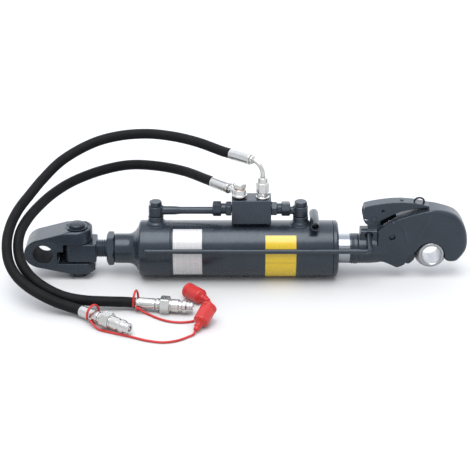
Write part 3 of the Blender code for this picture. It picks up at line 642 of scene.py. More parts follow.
def film(name, base, rough=0.25):
    m, nt, b = finish_of(name, base, rough)
    v = object_coords(nt)
    nt.links.new(mixed(nt, remap(nt, noise_of(nt, v, 35, 3), 0, 1), tuple(c * 0.95 for c in base), base),
                 b.inputs["Base Color"])
    nt.links.new(remap(nt, noise_of(nt, v, 300, 2), rough - 0.05, rough + 0.08), b.inputs["Roughness"])
    b.inputs["Coat Weight"].default_value = 0.4
    b.inputs["Coat Roughness"].default_value = 0.12
    bumped(nt, b, [(noise_of(nt, v, 90, 2), 0.06, 0.2)])
    return m


M["white_film"] = film("white_label_film", (0.50, 0.495, 0.50))
M["grey_ink"] = film("grey_label_ink", (0.32, 0.33, 0.35))
M["pale_ink"] = film("pale_label_ink", (0.62, 0.60, 0.60))
M["yellow_film"] = film("yellow_label_film", (0.60, 0.41, 0.003))
M["black_ink"] = film("dark_label_ink", (0.05, 0.045, 0.02))
M["seal"] = film("polyurethane_seal", (0.02, 0.025, 0.03), 0.4)


def give(ob, mat, body, *nodes, slot=None):
    ob.data.materials.clear()
    ob.data.materials.append(M[mat])
    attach(ob, body)
    if nodes:
        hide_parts(*nodes)
    return ob


# ================================================================== cylinder
BARREL_R, CAP_R = 47.5, 47.8
ob = turned("tube_shell", soft([(-106.7, 40.0, 0), (-106.7, 46.4), (-105.6, BARREL_R), (163.0, BARREL_R),
                                (163.8, 46.7), (163.8, 40.0, 0)], 0.5), n=160, closed=True)
give(ob, "paint", "barrel", "barrel_tube")

bell = [(-202.0, 15.6, 0), (-202.0, 23.8), (-200.8, 25.0)]
bell += [(-180.0, 25.0)]
bell += [(-180.0 + 17.0 * math.sin(t), 25.0 + 17.0 * (1 - math.cos(t))) for t in [0.12 * k for k in range(1, 11)]]
bell += [(-161.9, 38.5), (-161.0, 42.2), (-160.5, 44.8, 2.0), (-158.0, CAP_R, 2.0), (-108.2, CAP_R), (-107.0, 46.6)]
prof = soft(bell, 0.8) + [(-107.0, 40.0), (-145.0, 40.0), (-145.0, 0.0), (-165.0, 0.0), (-165.0, 15.6)]
give(turned("base_casting", prof, n=160, closed=True, angle=34), "paint_cast", "barrel", "base_cap")


def bead_radius(r, pitch=2.6, depth=0.22, seed=0.0):
    def f(s, a):
        w = noise.noise(Vector((s * 0.22, seed, 3.1)))
        return r * (1.0 + depth * (0.5 * math.sin(2 * math.pi * s / pitch + 1.3 * w)) + 0.12 * w)
    return f


def ring_path(x, r, n=220):
    return [(x, r * math.cos(2 * math.pi * k / n), r * math.sin(2 * math.pi * k / n)) for k in range(n)]


give(tube("weld_base_to_tube", ring_path(-106.85, 46.35), bead_radius(1.15), 10, loop=True), "paint", "barrel")

prof = soft([(118.0, 25.4, 0), (118.0, 38.4), (119.6, 39.7), (164.1, 39.7, 0), (164.1, 47.1), (164.5, 47.5),
             (169.6, 47.5), (172.4, 44.4), (172.4, 34.0), (171.2, 32.6), (171.2, 30.8, 0), (166.0, 30.8, 0),
             (166.0, 25.4, 0)], 0.4)
gland = turned("gland_nut", prof, n=160, closed=True)
for a in (35, 125, 215, 305):
    y, z = 39.5 * math.cos(math.radians(a)), 39.5 * math.sin(math.radians(a))
    cut(gland, rod("t", (169.0, y, z), (175.0, y, z), 2.4, 32))
shade(gland, 30)
give(gland, "paint", "barrel", "gland")
give(turned("wiper_lip", soft([(166.4, 25.35, 0), (166.4, 30.6), (171.6, 30.6), (172.2, 29.4), (173.6, 26.6),
                               (173.6, 25.35, 0)], 0.4), n=128, closed=True), "seal", "barrel", "rod_wiper")


def saddle_path(x, y, r, big, n=120, lift=0.0):
    out = []
    for k in range(n):
        a = 2 * math.pi * k / n
        px, py = x + r * math.cos(a), y + r * math.sin(a)
        out.append((px, py, math.sqrt(max(big * big - py * py, 0)) + lift))
    return out


for tag, x, big, foot in (("base", -132.0, CAP_R, 16.5), ("head", 109.4, BARREL_R, 15.2)):
    prof = soft([(0, 0, 0), (0, foot, 0), (9.3, foot, 0.8), (10.8, foot - 1.0, 1.2), (12.2, 13.0, 1.2),
                 (13.2, 12.8), (20.6, 12.8), (21.3, 12.0), (21.3, 0, 0)], 0.5)
    b = turned("boss_" + tag + "_welded", prof, (x, 0, 40), Z, 96)
    cut(b, rod("t1", (x - 40, 0, 0), (x + 40, 0, 0), big + 0.05, 192),
        rod("t2", (x, 0, 22), (x, 0, 70), 7.25, 48))
    give(shade(b, 32), "paint_cast", "barrel", "boss_" + tag)
    give(tube("weld_boss_" + tag, saddle_path(x, 0, foot + 0.1, big, lift=0.1), bead_radius(1.35, 3.0, 0.2, x), 10,
              loop=True), "paint", "barrel")

for tag, x, x_end, side in (("base", -132.0, -31.0, 1), ("head", 109.4, 84.0, -1)):
    eye = turned("t_eye", soft([(0, 7.2, 0), (0, 10.8), (1.2, 12.0, 1.2), (16.6, 12.0, 1.2), (17.8, 10.8), (17.8, 7.2, 0)], 0.6),
                 (x, 0, 61.6), Z, 96, closed=True)
    L = abs(x_end - x)
    collar = 38.0 if tag == "base" else 16.0
    pipe = turned("t_pipe", soft([(9.0, 0, 0), (9.0, 7.4, 0), (collar - 6, 7.0, 2), (collar, 6.4, 2), (collar + 3, 6.0, 2),
                                  (L, 6.0, 0), (L, 0, 0)], 0.5, 4), (x, 0, 70.5), X * side, 64)
    give(merge("pipe_%s_brazed" % tag, eye, pipe), "paint_pipe", "barrel", "pipe_" + tag)
    shade(bpy.data.objects["pipe_%s_brazed" % tag], 32)
    give(tube("braze_" + tag, [(x + side * (12.2 - 0.25 * math.cos(t) ** 2 * 6), 7.4 * math.cos(t), 70.5 + 7.4 * math.sin(t))
                               for t in [2 * math.pi * k / 60 for k in range(60)]], 1.0, 10, loop=True),
         "paint_pipe", "barrel")
    h = hexbody("t_hex", (x, 0, 80.4), Z, 6.8, 19.0, turn=0.26, chamfer=(False, True))
    w = turned("t_w", soft([(79.6, 0, 0), (79.6, 9.2), (80.5, 9.2, 0), (80.5, 0, 0)], 0.2), (x, 0, 0), Z, 64)
    s = turned("t_s", [(49.5, 0), (49.5, 7.0), (80.0, 7.0), (80.0, 0)], (x, 0, 0), Z, 48)
    give(merge("banjo_screw_" + tag, h, w, s), "paint", "barrel", "banjo_bolt_" + tag)

# ------------------------------------------------------------------ valve block
vb = block("valve_body", -5.5, 60.0, -17.5, 17.5, 52.8, 94.6, 0.9, 3)
for px in (7.6, 45.8):
    cut(vb, rod("t", (px, 0, 83.0), (px, 0, 100.0), 5.7, 48),
        turned("t2", [(94.1, 0), (94.1, 12.4), (99, 12.4), (99, 0)], (px, 0, 0), Z, 64))
cut(vb, rod("t3", (-12, 0, 73.7), (8, 0, 73.7), 7.0, 48), rod("t4", (46.5, 0, 73.7), (70, 0, 73.7), 7.0, 48),
    rod("t5", (0, 0, 73.7), (50, 0, 73.7), 5.95, 48))
give(shade(vb, 32), "paint", "barrel", "valve_block")
for tag, sgn, face in (("base", -1, -5.5), ("head", 1, 60.0)):
    d = X * sgn
    o = Vector((face, 0, 73.7))
    hx = hexbody("t1", o + d * 0.35, d, 9.2, 22.0, turn=0.1, chamfer=(True, True))
    stub = turned("t2", soft([(-12, 0, 0), (-12, 6.7), (1.0, 6.7, 0), (1.0, 0, 0)], 0.4), o, d, 64)
    neck = turned("t3", soft([(9.0, 0, 0), (9.0, 9.9, 0), (10.2, 9.9), (10.8, 9.0), (23.6, 9.0, 0.8), (24.0, 8.2), (24.0, 0, 0)],
                             0.3), o, d, 64)
    give(merge("union_body_" + tag, hx, stub, neck), "paint", "barrel", "adapter_" + tag)
    o2 = Vector((face, 0, 70.5 if tag == "none" else 72.2))
    nut = hexbody("t4", Vector((face, 0, 73.7)) + d * 17.2, d, 14.3, 22.0, turn=0.42, chamfer=(True, True), bore=9.25)
    lip = turned("t5", soft([(30.6, 6.2, 0), (30.6, 9.6, 0), (31.9, 9.6), (31.9, 6.2, 0)], 0.3), (face, 0, 72.2), d, 64, closed=True)
    give(merge("union_nut_" + tag, nut, lip), "paint", "barrel", "pipe_nut_" + tag)

# ------------------------------------------------------------------ hose fittings
TAIL = Vector((-0.7265, 0.6872, 0.0)).normalized()
OUT = Vector((-0.8, 0.6, 0.0))
BX, EX = 7.6, 45.8
c = Vector((BX, 0, 103.6))
eye = turned("t1", soft([(0, 5.9, 0), (0, 11.6), (1.4, 13.0, 1.2), (4.2, 13.0, 1.0), (5.4, 11.4, 1.0), (12.8, 11.2, 1.0),
                         (14.4, 9.8, 1.0), (14.4, 5.9, 0)], 0.5), (BX, 0, 96.4), Z, 96, closed=True)
tail = turned("t2", soft([(8.5, 0, 0), (8.5, 6.6, 0), (13.0, 6.3, 1), (15.0, 5.6, 1), (18.5, 5.6, 0.6), (19.2, 6.8), (21.0, 6.8),
                          (21.6, 5.8), (22.5, 5.8, 0), (22.5, 0, 0)], 0.4), c, TAIL, 64)
give(merge("banjo_eye_bright", eye, tail), "zinc", "barrel", "hose_banjo_eye")
for tag, z in (("lower", 94.9), ("upper", 111.1)):
    give(turned("seal_washer_" + tag, soft([(0, 5.9, 0), (0, 9.5), (1.2, 9.5), (1.2, 5.9, 0)], 0.3), (BX, 0, z), Z, 64, closed=True),
         "copper", "barrel", "washer_" + tag)
h = hexbody("t1", (BX, 0, 113.6), Z, 6.9, 20.0, turn=0.15, chamfer=(False, True))
w = turned("t2", soft([(112.6, 0, 0), (112.6, 10.2), (113.7, 10.2, 0), (113.7, 0, 0)], 0.3), (BX, 0, 0), Z, 64)
s = turned("t3", [(84.5, 0), (84.5, 5.5), (113.0, 5.5), (113.0, 0)], (BX, 0, 0), Z, 48)
give(merge("banjo_screw_bright", h, w, s), "zinc", "barrel", "hose_banjo_bolt")

base = turned("t1", soft([(84.5, 0, 0), (84.5, 5.5), (94.9, 5.5, 0), (94.9, 11.5), (96.6, 11.5, 0.8), (97.8, 10.2, 0.6),
                          (98.2, 10.0, 0), (98.2, 0, 0)], 0.4), (EX, 0, 0), Z, 72)
hx = hexbody("t2", (EX, 0, 98.1), Z, 5.8, 19.0, turn=0.2)
nk = turned("t3", [(103.5, 0), (103.5, 7.0), (112.0, 7.0), (112.0, 0)], (EX, 0, 0), Z, 48)
give(merge("adapter_bright", base, hx, nk), "zinc", "barrel", "hose_adapter")
nut = hexbody("t1", (EX, 0, 104.3), Z, 17.4, 19.0, turn=0.45, bore=7.2)
col = turned("t2", soft([(121.2, 4.3, 0), (121.2, 9.0, 0), (122.0, 8.4), (124.5, 8.2, 0.6), (130.2, 8.2, 0.9), (131.0, 7.2), (131.0, 4.3, 0)],
                        0.4), (EX, 0, 0), Z, 64, closed=True)
give(merge("swivel_nut_bright", nut, col), "zinc", "barrel", "swivel_nut")
top = Vector((EX, 0, 156.0))
bend = [Vector((EX, 0, z)) for z in (113.0, 118.0, 124.0, 130.0, 134.0)]
bend += [Vector((EX, 0, 136)) + OUT * 20 * (1 - math.cos(t)) + Z * (20 * math.sin(t))
         for t in [math.pi / 2 * k / 20 for k in range(21)]]
bend += [top + OUT * 22.0, top + OUT * 24.2]
give(tube("elbow_bright", bend, 4.0, 36), "zinc", "barrel", "elbow_tube")
give(turned("elbow_collar_bright", soft([(19.6, 4.1, 0), (19.6, 6.8), (21.0, 7.2), (24.0, 7.2, 0), (24.0, 4.1, 0)], 0.4), top, OUT, 48, closed=True),
     "zinc", "barrel")


def crimped(name, p, d, length, node, r=9.3, jaws=8):
    """A crimped ferrule: eight die marks round a sleeve with plain ends."""
    a0, a1 = length * 0.16, length * 0.84

    def wob(s, a, rad):
        if a0 < s < a1 and rad > 5:
            edge = min((s - a0) / 1.5, (a1 - s) / 1.5, 1.0)
            t = abs(((a * jaws / (2 * math.pi)) % 1.0) - 0.5) * 2
            return rad - 0.12 * edge + 0.12 * edge * max(0.0, (t - 0.72) / 0.28)
        return rad
    outer = [(0.0, 7.6), (0.0, r - 1.0), (0.5, r - 0.3), (1.2, r)]
    n = 34
    outer += [(1.2 + (length - 2.4) * k / n, r) for k in range(1, n)]
    outer += [(length - 1.2, r), (length - 0.4, r - 0.3), (length, r - 1.0)]
    prof = [(0.0, 0.0)] + outer + [(length, 0.0)]
    ob = turned(name, prof, p, d, 128, angle=30, wobble=wob)
    return give(ob, "zinc", "barrel", node)


crimped("ferrule_a_top_bright", c + TAIL * 22.8, TAIL, 39.0, "ferrule_a_top")
crimped("ferrule_b_top_bright", top + OUT * 24.3, OUT, 41.5, "ferrule_b_top")
A0 = c + TAIL * 62.0
B0 = top + OUT * 66.0

# ------------------------------------------------------------------ hoses
CZ = -34.4
DA, EA = Vector((0.988, -0.1545, 0.0)).normalized(), Vector((-159.8, -128.5, CZ))
DB, EB = Vector((0.815, -0.58, 0.0)).normalized(), Vector((-245.6, -155.4, CZ))
ROUTE_A = [A0 + TAIL * 6, A0 + TAIL * 16, (-86, 86, 104), (-130, 108, 104), (-174, 113, 105),
           (-204, 104, 105), (-242.5, 93.6, 98), (-280, 71, 90), (-307.5, 42, 82), (-327.5, 13, 73),
           (-343.5, -22, 64), (-352.5, -50, 52), (-354, -69, 36), (-347, -90, 18), (-330.6, -104, 0),
           (-305.5, -117.5, -13.5), (-277, -125.5, -24), (-244, -127.8, -30.2), (-209, -126.6, -33.0),
           EA - DA * 16, EA - DA * 6]
ROUTE_B = [B0 + OUT * 6, B0 + OUT * 16, (-64, 75, 162.5), (-104, 90, 166.5), (-149, 100, 167.5),
           (-197, 98, 164.5), (-241, 85, 156.5), (-291, 60, 135.5), (-321, 35, 113), (-341.5, 8, 95),
           (-358, -20, 80), (-368, -45, 63.6), (-372, -68, 44), (-367, -92, 21.7), (-353, -110, 4.5),
           (-333, -124, -8), (-308, -135.5, -18.5), (-283, -142.5, -27.5),
           EB - DB * 12, EB - DB * 4]
HOSE_A = [A0 + TAIL * 0.1] + smooth_route(ROUTE_A, 3.5) + [EA - DA * 0.1]
HOSE_B = [B0 + OUT * 0.1] + smooth_route(ROUTE_B, 3.5) + [EB - DB * 0.1]
hose_a = give(tube("hose_a_cover", HOSE_A, 8.5, 48), "hose", "barrel", "hose_a")
hose_b = give(tube("hose_b_cover", HOSE_B, 8.5, 48), "hose", "barrel", "hose_b")

# ------------------------------------------------------------------ couplings
END_LENGTH = {"a": 32.0, "b": 38.0}
for tag, p, d in (("a", EA, DA), ("b", EB, DB)):
    fer = crimped("ferrule_%s_end_bright" % tag, p, d, END_LENGTH[tag], "ferrule_%s_end" % tag)
    q = p + d * (END_LENGTH[tag] + 0.3)
    prof = soft([(0, 0, 0), (0, 8.0), (1.4, 8.0), (2.0, 10.0), (5.2, 10.2), (5.6, 9.2), (7.0, 9.2), (7.6, 10.2), (8.4, 10.4, 0),
                 (24.4, 10.6), (25.0, 9.9), (26.2, 9.9), (26.8, 10.6), (38.0, 10.6), (39.2, 9.0, 0.8), (43.8, 9.0, 0.8),
                 (45.0, 10.6, 0.6), (49.6, 10.6), (52.4, 8.5, 0.6), (56.0, 8.5), (56.4, 7.9), (57.6, 7.9), (58.0, 8.5), (60.4, 8.5),
                 (61.7, 7.3), (61.7, 4.4), (60.4, 4.2), (48.0, 4.2, 0), (48.0, 0, 0)], 0.25)
    body = turned("t1", prof, q, d, 96, angle=28)
    hx = hexbody("t2", q + d * 8.2, d, 15.6, 26.4, turn=math.pi / 6, n=96)
    cp = give(merge("coupling_%s_bright" % tag, body, hx), "zinc", "barrel", "coupling_" + tag)
    pop = turned("poppet_%s_bright" % tag, soft([(50.5, 0, 0), (50.5, 3.9), (57.8, 3.9), (61.0, 2.3), (61.5, 1.6), (61.5, 0, 0)], 0.4),
                 q, d, 40)
    give(pop, "steel", "nipple_" + tag, "nipple_poppet_" + tag)

# ------------------------------------------------------------------ dust caps and straps
tilt = math.radians(22)
CAPS = {"a": (Vector((-42.5, -122.0, -34.7)), Vector((-0.687, 0.727, 0.0)).normalized()),
        "b": (Vector((-62.0, -205.0, -41.9)), Vector((0.45 * math.cos(tilt), 0.893 * math.cos(tilt), math.sin(tilt))).normalized())}
for tag, (p, d) in CAPS.items():
    prof = soft([(0, 0, 0), (0, 3.4), (0.8, 4.2), (6.0, 4.4, 1), (7.0, 6.0), (9.4, 6.2), (10.4, 4.8, 1), (12.5, 5.0, 1), (15.6, 7.4, 2), (17.2, 11.4, 2),
                 (19.4, 12.7, 1.5), (44.0, 12.8, 1), (45.4, 12.2, 0.5), (46.4, 12.2, 0.5), (47.0, 13.0, 0.6), (50.8, 13.0, 0.8), (52.0, 12.2, 0.6),
                 (52.0, 10.0, 0.5), (51.2, 9.4, 0.5), (23.5, 9.2, 1), (22.0, 7.5, 1), (22.0, 0, 0)], 0.5, 4)

    def ribs(s, a, r):
        if 20.5 < s < 43.0 and r > 12:
            return r - 0.18 + 0.18 * max(0.0, math.cos(a * 24)) ** 0.5
        return r
    give(turned("dust_cap_" + tag, prof, p, d, 144, angle=50, wobble=ribs), "red", "barrel", "cap_" + tag)


def ring_points(centre, d, half_w, half_h, drop, start, sweep, pitch, n):
    side = Z.cross(d).normalized()
    out = []
    for k in range(n + 1):
        a = math.radians(start + sweep * k / n)
        out.append(centre + side * (half_w * math.cos(a)) + Z * (drop + half_h * math.sin(a)) + d * (pitch * k / n))
    return out


STRAPS = {}
pa, dca = CAPS["a"]
loop_a = ring_points(EA + DA * 3.0, DA, 12.6, 16.2, 4.9, 205, 352, -5.0, 42)
ra = [pa - dca * 1.2, pa - dca * 5 + Z * -3, (-44, -136, -45.0), (-50, -153, -45.6), (-65, -168, -45.6), (-88, -172.6, -45.6),
      (-109, -168, -45.6), (-128, -156, -45.6), (-144, -143, -44.8)]
STRAPS["a"] = smooth_route(ra + [loop_a[0]], 2.5)[:-1] + loop_a
pb, dcb = CAPS["b"]
loop_b = ring_points(EB + DB * 28.0, DB, 13.0, 14.5, 3.1, 205, 352, -5.0, 42)
rb = [pb - dcb * 1.2, pb - dcb * 7 + Vector((0, -1, -0.3)), (-73, -218, -45.6), (-88, -229, -45.6), (-110, -235, -45.6),
      (-136, -230, -45.6), (-166, -216.5, -45.6), (-196, -204, -45.6), (-215, -195, -45.2)]
STRAPS["b"] = smooth_route(rb + [loop_b[0]], 2.5)[:-1] + loop_b
for tag, pts in STRAPS.items():
    pts = pts[::-1]
    give(tube("cap_strap_" + tag, pts, 1.9, 20, ends="round"), "red", "barrel", "strap_" + tag)
    STRAPS[tag] = pts

# ------------------------------------------------------------------ stow tube
give(turned("cross_tube", soft([(-34, 5.2), (-34, 7.5), (22, 7.5), (22, 5.2)], 0.5, closed=True), (132.4, 0, 55.6), Y, 72, closed=True),
     "paint", "barrel", "stow_tube")
for s in (-1, 1):
    pts = [(132.4 + s * 4.6, y, math.sqrt(BARREL_R ** 2 - y * y) + 0.9) for y in [-10 + 20 * k / 24 for k in range(25)]]
    give(tube("weld_cross_tube_%d" % (s + 1), pts, bead_radius(1.7, 2.8, 0.2, s), 10, ends="round"), "paint", "barrel")


# ------------------------------------------------------------------ label plates
def label(name, x0, x1, a0, a1, r, mats, boxes, thick=0.16):
    """A thin film wrapped on the barrel. boxes are (x0, x1, a0, a1, material) printed areas, in mm and degrees."""
    xs = sorted({x0, x1} | {v for b in boxes for v in b[:2]})
    cuts = sorted({a0, a1} | {v for b in boxes for v in b[2:4]})
    angs = []
    for lo, hi in zip(cuts[:-1], cuts[1:]):
        k = max(1, math.ceil((hi - lo) / 3.0))
        angs += [lo + (hi - lo) * j / k for j in range(k)]
    angs.append(cuts[-1])
    verts, faces, mat_of = [], [], []

    def at(x, a, rr):
        t = math.radians(a)
        return (x, -rr * math.cos(t), rr * math.sin(t))
    nx, na = len(xs), len(angs)
    for rr in (r + thick, r):
        for x in xs:
            for a in angs:
                verts.append(at(x, a, rr))
    for i in range(nx - 1):
        for j in range(na - 1):
            a, b, c_, d_ = i * na + j, (i + 1) * na + j, (i + 1) * na + j + 1, i * na + j + 1
            faces.append((a, b, c_, d_))
            mx, ma = (xs[i] + xs[i + 1]) / 2, (angs[j] + angs[j + 1]) / 2
            m = 0
            for bx in boxes:
                if bx[0] < mx < bx[1] and bx[2] < ma < bx[3]:
                    m = bx[4]
            mat_of.append(m)
            o = nx * na
            faces.append((o + d_, o + c_, o + b, o + a))
            mat_of.append(0)
    o = nx * na
    for i in range(nx - 1):
        for j in (0, na - 1):
            a, b = i * na + j, (i + 1) * na + j
            faces.append((a, b, o + b, o + a))
            mat_of.append(0)
    for j in range(na - 1):
        for i in (0, nx - 1):
            a, b = i * na + j, i * na + j + 1
            faces.append((a, b, o + b, o + a))
            mat_of.append(0)
    me = bpy.data.meshes.new(name)
    me.from_pydata([tuple(row(v)) for v in verts], [], faces)
    for m in mats:
        me.materials.append(M[m])
    for p, m in zip(me.polygons, mat_of):
        p.material_index = m
    bm = bmesh.new()
    bm.from_mesh(me)
    bmesh.ops.recalc_face_normals(bm, faces=bm.faces[:])
    bm.to_mesh(me)
    bm.free()
    ob = bpy.data.objects.new(name, me)
    bpy.context.scene.collection.objects.link(ob)
    shade(ob, 30)
    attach(ob, "barrel")
    return ob


rules = []
for k in range(5):
    rules.append((-99.0 + k * 9.8, -98.4 + k * 9.8, -34, 62, 2))
for k in range(4):
    rules.append((-99.0, -59.2, -34 + k * 32, -33.2 + k * 32, 2))
label("white_plate", -103.0, -54.8, -40.3, 67.7, BARREL_R + 0.02, ["white_film", "grey_ink", "pale_ink"], rules)
label("yellow_plate", 50.5, 101.6, -70.0, 52.6, BARREL_R + 0.02, ["yellow_film", "black_ink"],
      [(50.5, 101.6, -5.0, -4.3, 1)])

# ================================================================== rod and hook
rod_prof = soft([(-141.0, 0, 0), (-141.0, 11.0), (-140.0, 12.0, 0), (-89.7, 12.0, 0), (-89.7, 23.5), (-88.0, 25.0), (199.0, 25.0, 0.6),
                 (200.0, 25.7, 0.8), (205.2, 25.7, 0.8), (206.5, 24.9), (206.5, 14.0, 0), (228.0, 14.0, 0), (228.0, 0, 0)], 0.4)
rod_ob = turned("chromed_rod", rod_prof, n=160)
give(rod_ob, "chrome", "rod_hook", "piston_rod")
collar = turned("rod_collar_painted", soft([(192.4, 25.04, 0), (192.8, 25.16), (198.6, 25.3), (199.8, 26.0, 1), (205.4, 26.0, 1), (206.6, 25.2),
                                            (206.6, 25.04, 0)], 0.3), n=128, closed=True)
give(collar, "paint", "rod_hook")
give(tube("weld_collar", ring_path(197.0, 25.0), bead_radius(1.0, 2.4, 0.2, 5.0), 10, loop=True), "paint", "rod_hook")

BALL = Vector((329.3, 0.0, -3.0))


def rounded_plate(name, outline, w, steps=8):
    """A plate along Y whose rim is rounded. Each outline point is (x, z, rounding radius)."""
    n = len(outline)
    inward = []
    for i in range(n):
        a, b, c_ = (Vector(outline[j][:2]) for j in (i - 1, i, (i + 1) % n))
        d1, d2 = (b - a).normalized(), (c_ - b).normalized()
        n1, n2 = Vector((-d1.y, d1.x)), Vector((-d2.y, d2.x))
        m = (n1 + n2).normalized()
        inward.append(m * min(1.35, 1.0 / max(m.dot(n1), 0.3)))
    angles = [math.pi / 2 * k / steps for k in range(steps + 1)]
    layers = [(-1, t) for t in reversed(angles)] + [(1, t) for t in angles]
    verts = []
    for sign, t in layers:
        for (x, z, r), m in zip(outline, inward):
            o = r * (1 - math.cos(t))
            verts.append((x + m.x * o, sign * (w - r + r * math.sin(t)), z + m.y * o))
    faces = [tuple(range(n)), tuple(range((len(layers) - 1) * n, len(layers) * n))[::-1]]
    for k in range(len(layers) - 1):
        faces += [(k * n + i, k * n + (i + 1) % n, (k + 1) * n + (i + 1) % n, (k + 1) * n + i) for i in range(n)]
    return new_mesh(name, verts, faces)


throat = [Vector((x, z, 1.2)) for x, z in arc(327.0, -4.9, 24.8, 165, -10, 40)]
lower = smooth_route([(238, -15, 4), (251, -17.3, 3), (262, -22.0, 2.5), (271.8, -26.8, 2.2)], 2.0)[:-1]
lower += smooth_route([(271.8, -26.8, 2.2), (279, -24.4, 2), (285.3, -20.3, 2), (287.5, -12, 1.4), (292, -3.5, 1.2), (298, 1.2, 1.2)], 2.0)
horn = smooth_route([(351.2, -9.4, 1.2), (355.5, -13.8, 2.5), (363, -15.8, 4), (372, -15, 6), (378.7, -9.4, 8), (384.4, -1.5, 9),
                     (387.7, 6.0, 9.5), (389, 14.4, 10), (388.2, 27, 10), (385.4, 40, 10), (378.7, 55, 10), (369, 66.5, 10),
                     (359.4, 71.8, 10), (349.6, 75, 9.5), (336, 77.8, 7), (324, 78.0, 2.5), (312, 75.6, 1.8), (300, 72.5, 1.6),
                     (284, 67.4, 1.6), (268, 61.8, 1.6), (252.6, 53.0, 1.6), (244, 46.5, 2), (238, 40, 2)], 2.0)
hook = rounded_plate("hook_casting", lower[:-1] + throat[1:-1] + horn, 21.0)
join(hook, turned("t0", [(206.8, 0), (206.8, 25.0), (228, 25.0), (240, 24.0), (256, 21.4), (272, 18.8), (272, 0)], n=128),
     prism("t1", soft([(-13, 4, 0), (13, 4, 0), (13, 33), (11, 37), (7, 39), (-7, 39), (-11, 37), (-13, 33)], 2.0, 3), 209.5, 243, "YZ"),
     prism("t2", soft([(222, 36, 0), (243, 36, 0), (243, 60), (239, 66), (227, 66), (222, 61)], 3.0, 4), -7.5, 7.5))
pocket = [(244, -32), (306, -32), (306, 4), (301, 22), (288, 38), (276, 50), (262, 72), (244, 72)]
cut(hook, prism("t1", soft(pocket, 2.0, 3), -8.5, 8.5), sphere("t2", BALL, 29.0),
    rod("t3", (195, 0, 0), (229, 0, 0), 14.2, 64),
    rod("t4", (262, -30, 30), (262, 30, 30), 5.1, 48), rod("t5", (231, -30, 58.5), (231, 30, 58.5), 4.2, 40))
LEG = Vector((0.0, 39.0, 11.0)).normalized()
LEG_END = Vector((224.0, -5.0, 32.0))
cut(hook, rod("t6", LEG_END + LEG * 0.4, LEG_END - LEG * 30, 4.2, 40),
    rod("t7", LEG_END - LEG * 5.2, LEG_END - LEG * 30, 6.3, 48))
for s in (-1, 1):
    for pts in ([(322.0, 70.5), (318.5, 58.0), (311.0, 41.0), (303.0, 29.0)], [(262.0, 56.0), (274.0, 51.5), (281.0, 42.0), (287.5, 20.0)]):
        route = smooth_route([(a, s * 20.3, b) for a, b in pts], 3.0)
        boolean(hook, tube("t8", route, 2.3, 12, ends="round"), "UNION")
cast(hook, 0.75, 5)
give(hook, "paint_cast", "rod_hook", "hook_body")

start = Vector((216.0, -51.0, 19.0))
run = [Vector((-147 + 363.0 * k / 60, -51.0, 19.0)) for k in range(61)]
run += [start + LEG * 8 + X * (8 * math.sin(t)) - LEG * (8 * math.cos(t)) for t in [math.pi / 2 * k / 14 for k in range(1, 15)]]
run += [LEG_END - LEG * 20, LEG_END - LEG * 10, LEG_END]
give(tube("indicator_wire", run, 4.0, 32, ends="round"), "paint_pipe", "rod_hook", "indicator_rod")

ball_prof = []
for k in range(41):
    t = math.acos(20.5 / 28.5) + (math.pi - 2 * math.acos(20.5 / 28.5)) * k / 40
    ball_prof.append((-28.5 * math.cos(t), 28.5 * math.sin(t)))
bp = [(-20.5, 17.4), (-20.5, 19.0)] + ball_prof[1:-1] + [(20.5, 19.0), (20.5, 17.4), (19.2, 16.1), (-19.2, 16.1)]
give(turned("ball_bright", bp, BALL, Y, 160, closed=True, angle=30), "zinc_ball", "ball", "hook_ball")

latch_line = [(254, 22), (263, 14), (274, 4), (281, -8), (284, -20), (288, -25), (294.5, -25.5), (301.5, -19),
              (304.5, -12), (302.5, -4), (301, 4), (296, 14), (284, 27), (272, 36), (270, 45), (264, 53), (256, 52),
              (253, 40), (250, 31)]
la = prism("latch_plate", soft(latch_line, 1.5, 3, closed=True), -8.0, 2.0, "XZ", 0.7, 2)
cut(la, rod("t1", (262, -20, 30), (262, 20, 30), 5.1, 48), sphere("t2", BALL, 29.2))
give(shade(la, 34), "paint", "latch_set", "latch")
give(turned("latch_pin_painted", soft([(-17.6, 0, 0), (-17.6, 4.0), (-16.6, 5.0), (19.4, 5.0), (20.5, 4.0), (20.5, 0, 0)], 0.4), (262, 0, 30), Y, 48),
     "paint", "rod_hook", "latch_pin")
coil = [Vector((262 + 6.9 * math.cos(2 * math.pi * k / 28), 3.2 + 1.5 * k / 28, 30 + 6.9 * math.sin(2 * math.pi * k / 28))) for k in range(0, 78)]
give(tube("latch_coil", coil, 0.6, 12, ends="round"), "steel", "rod_hook", "lever_spring")

# Release lever: a pressed channel with rounded shoulders.
top_pts = [(214.8, 80.2), (217, 81.5), (230, 84.6), (245, 87.2), (260, 88.9), (277, 89.5), (295, 88.0), (310, 85.2), (323, 82)]
low_pts = [(321, 79), (305, 78.2), (289, 76), (273, 72), (258, 64), (243, 56), (224, 47.5), (217.6, 50), (213.4, 58), (212, 66), (213.2, 75)]
lev = prism("lever_channel", soft(top_pts + low_pts, 3.0, 4, closed=True), -11.0, 11.0, "XZ", 2.2, 4)
inner = [(205, 40), (205, 70), (216, 77.7), (230, 81.4), (245, 84.2), (260, 86.0), (277, 86.6), (295, 85.1), (306, 83.0), (306, 70), (280, 50), (230, 30)]
cut(lev, prism("t1", inner, -8.2, 8.2), rod("t2", (231, -20, 58.5), (231, 20, 58.5), 4.2, 40), rod("t3", (245.5, -20, 73.6), (245.5, 20, 73.6), 2.6, 32),
    prism("t4", soft([(215.5, 57.0), (221.5, 56.0), (222.0, 59.2), (216.0, 60.2)], 1.2, 3, closed=True), -20, 20))
cast(lev, 0.55, 4)
give(lev, "paint_cast", "lever", "release_lever")
give(turned("lever_rivet", soft([(0, 0, 0), (0, 3.4), (1.2, 3.2, 0.8), (1.9, 1.8, 0.8), (2.0, 0, 0)], 0.4), (277, 0, 89.0), Z, 36), "paint", "lever")
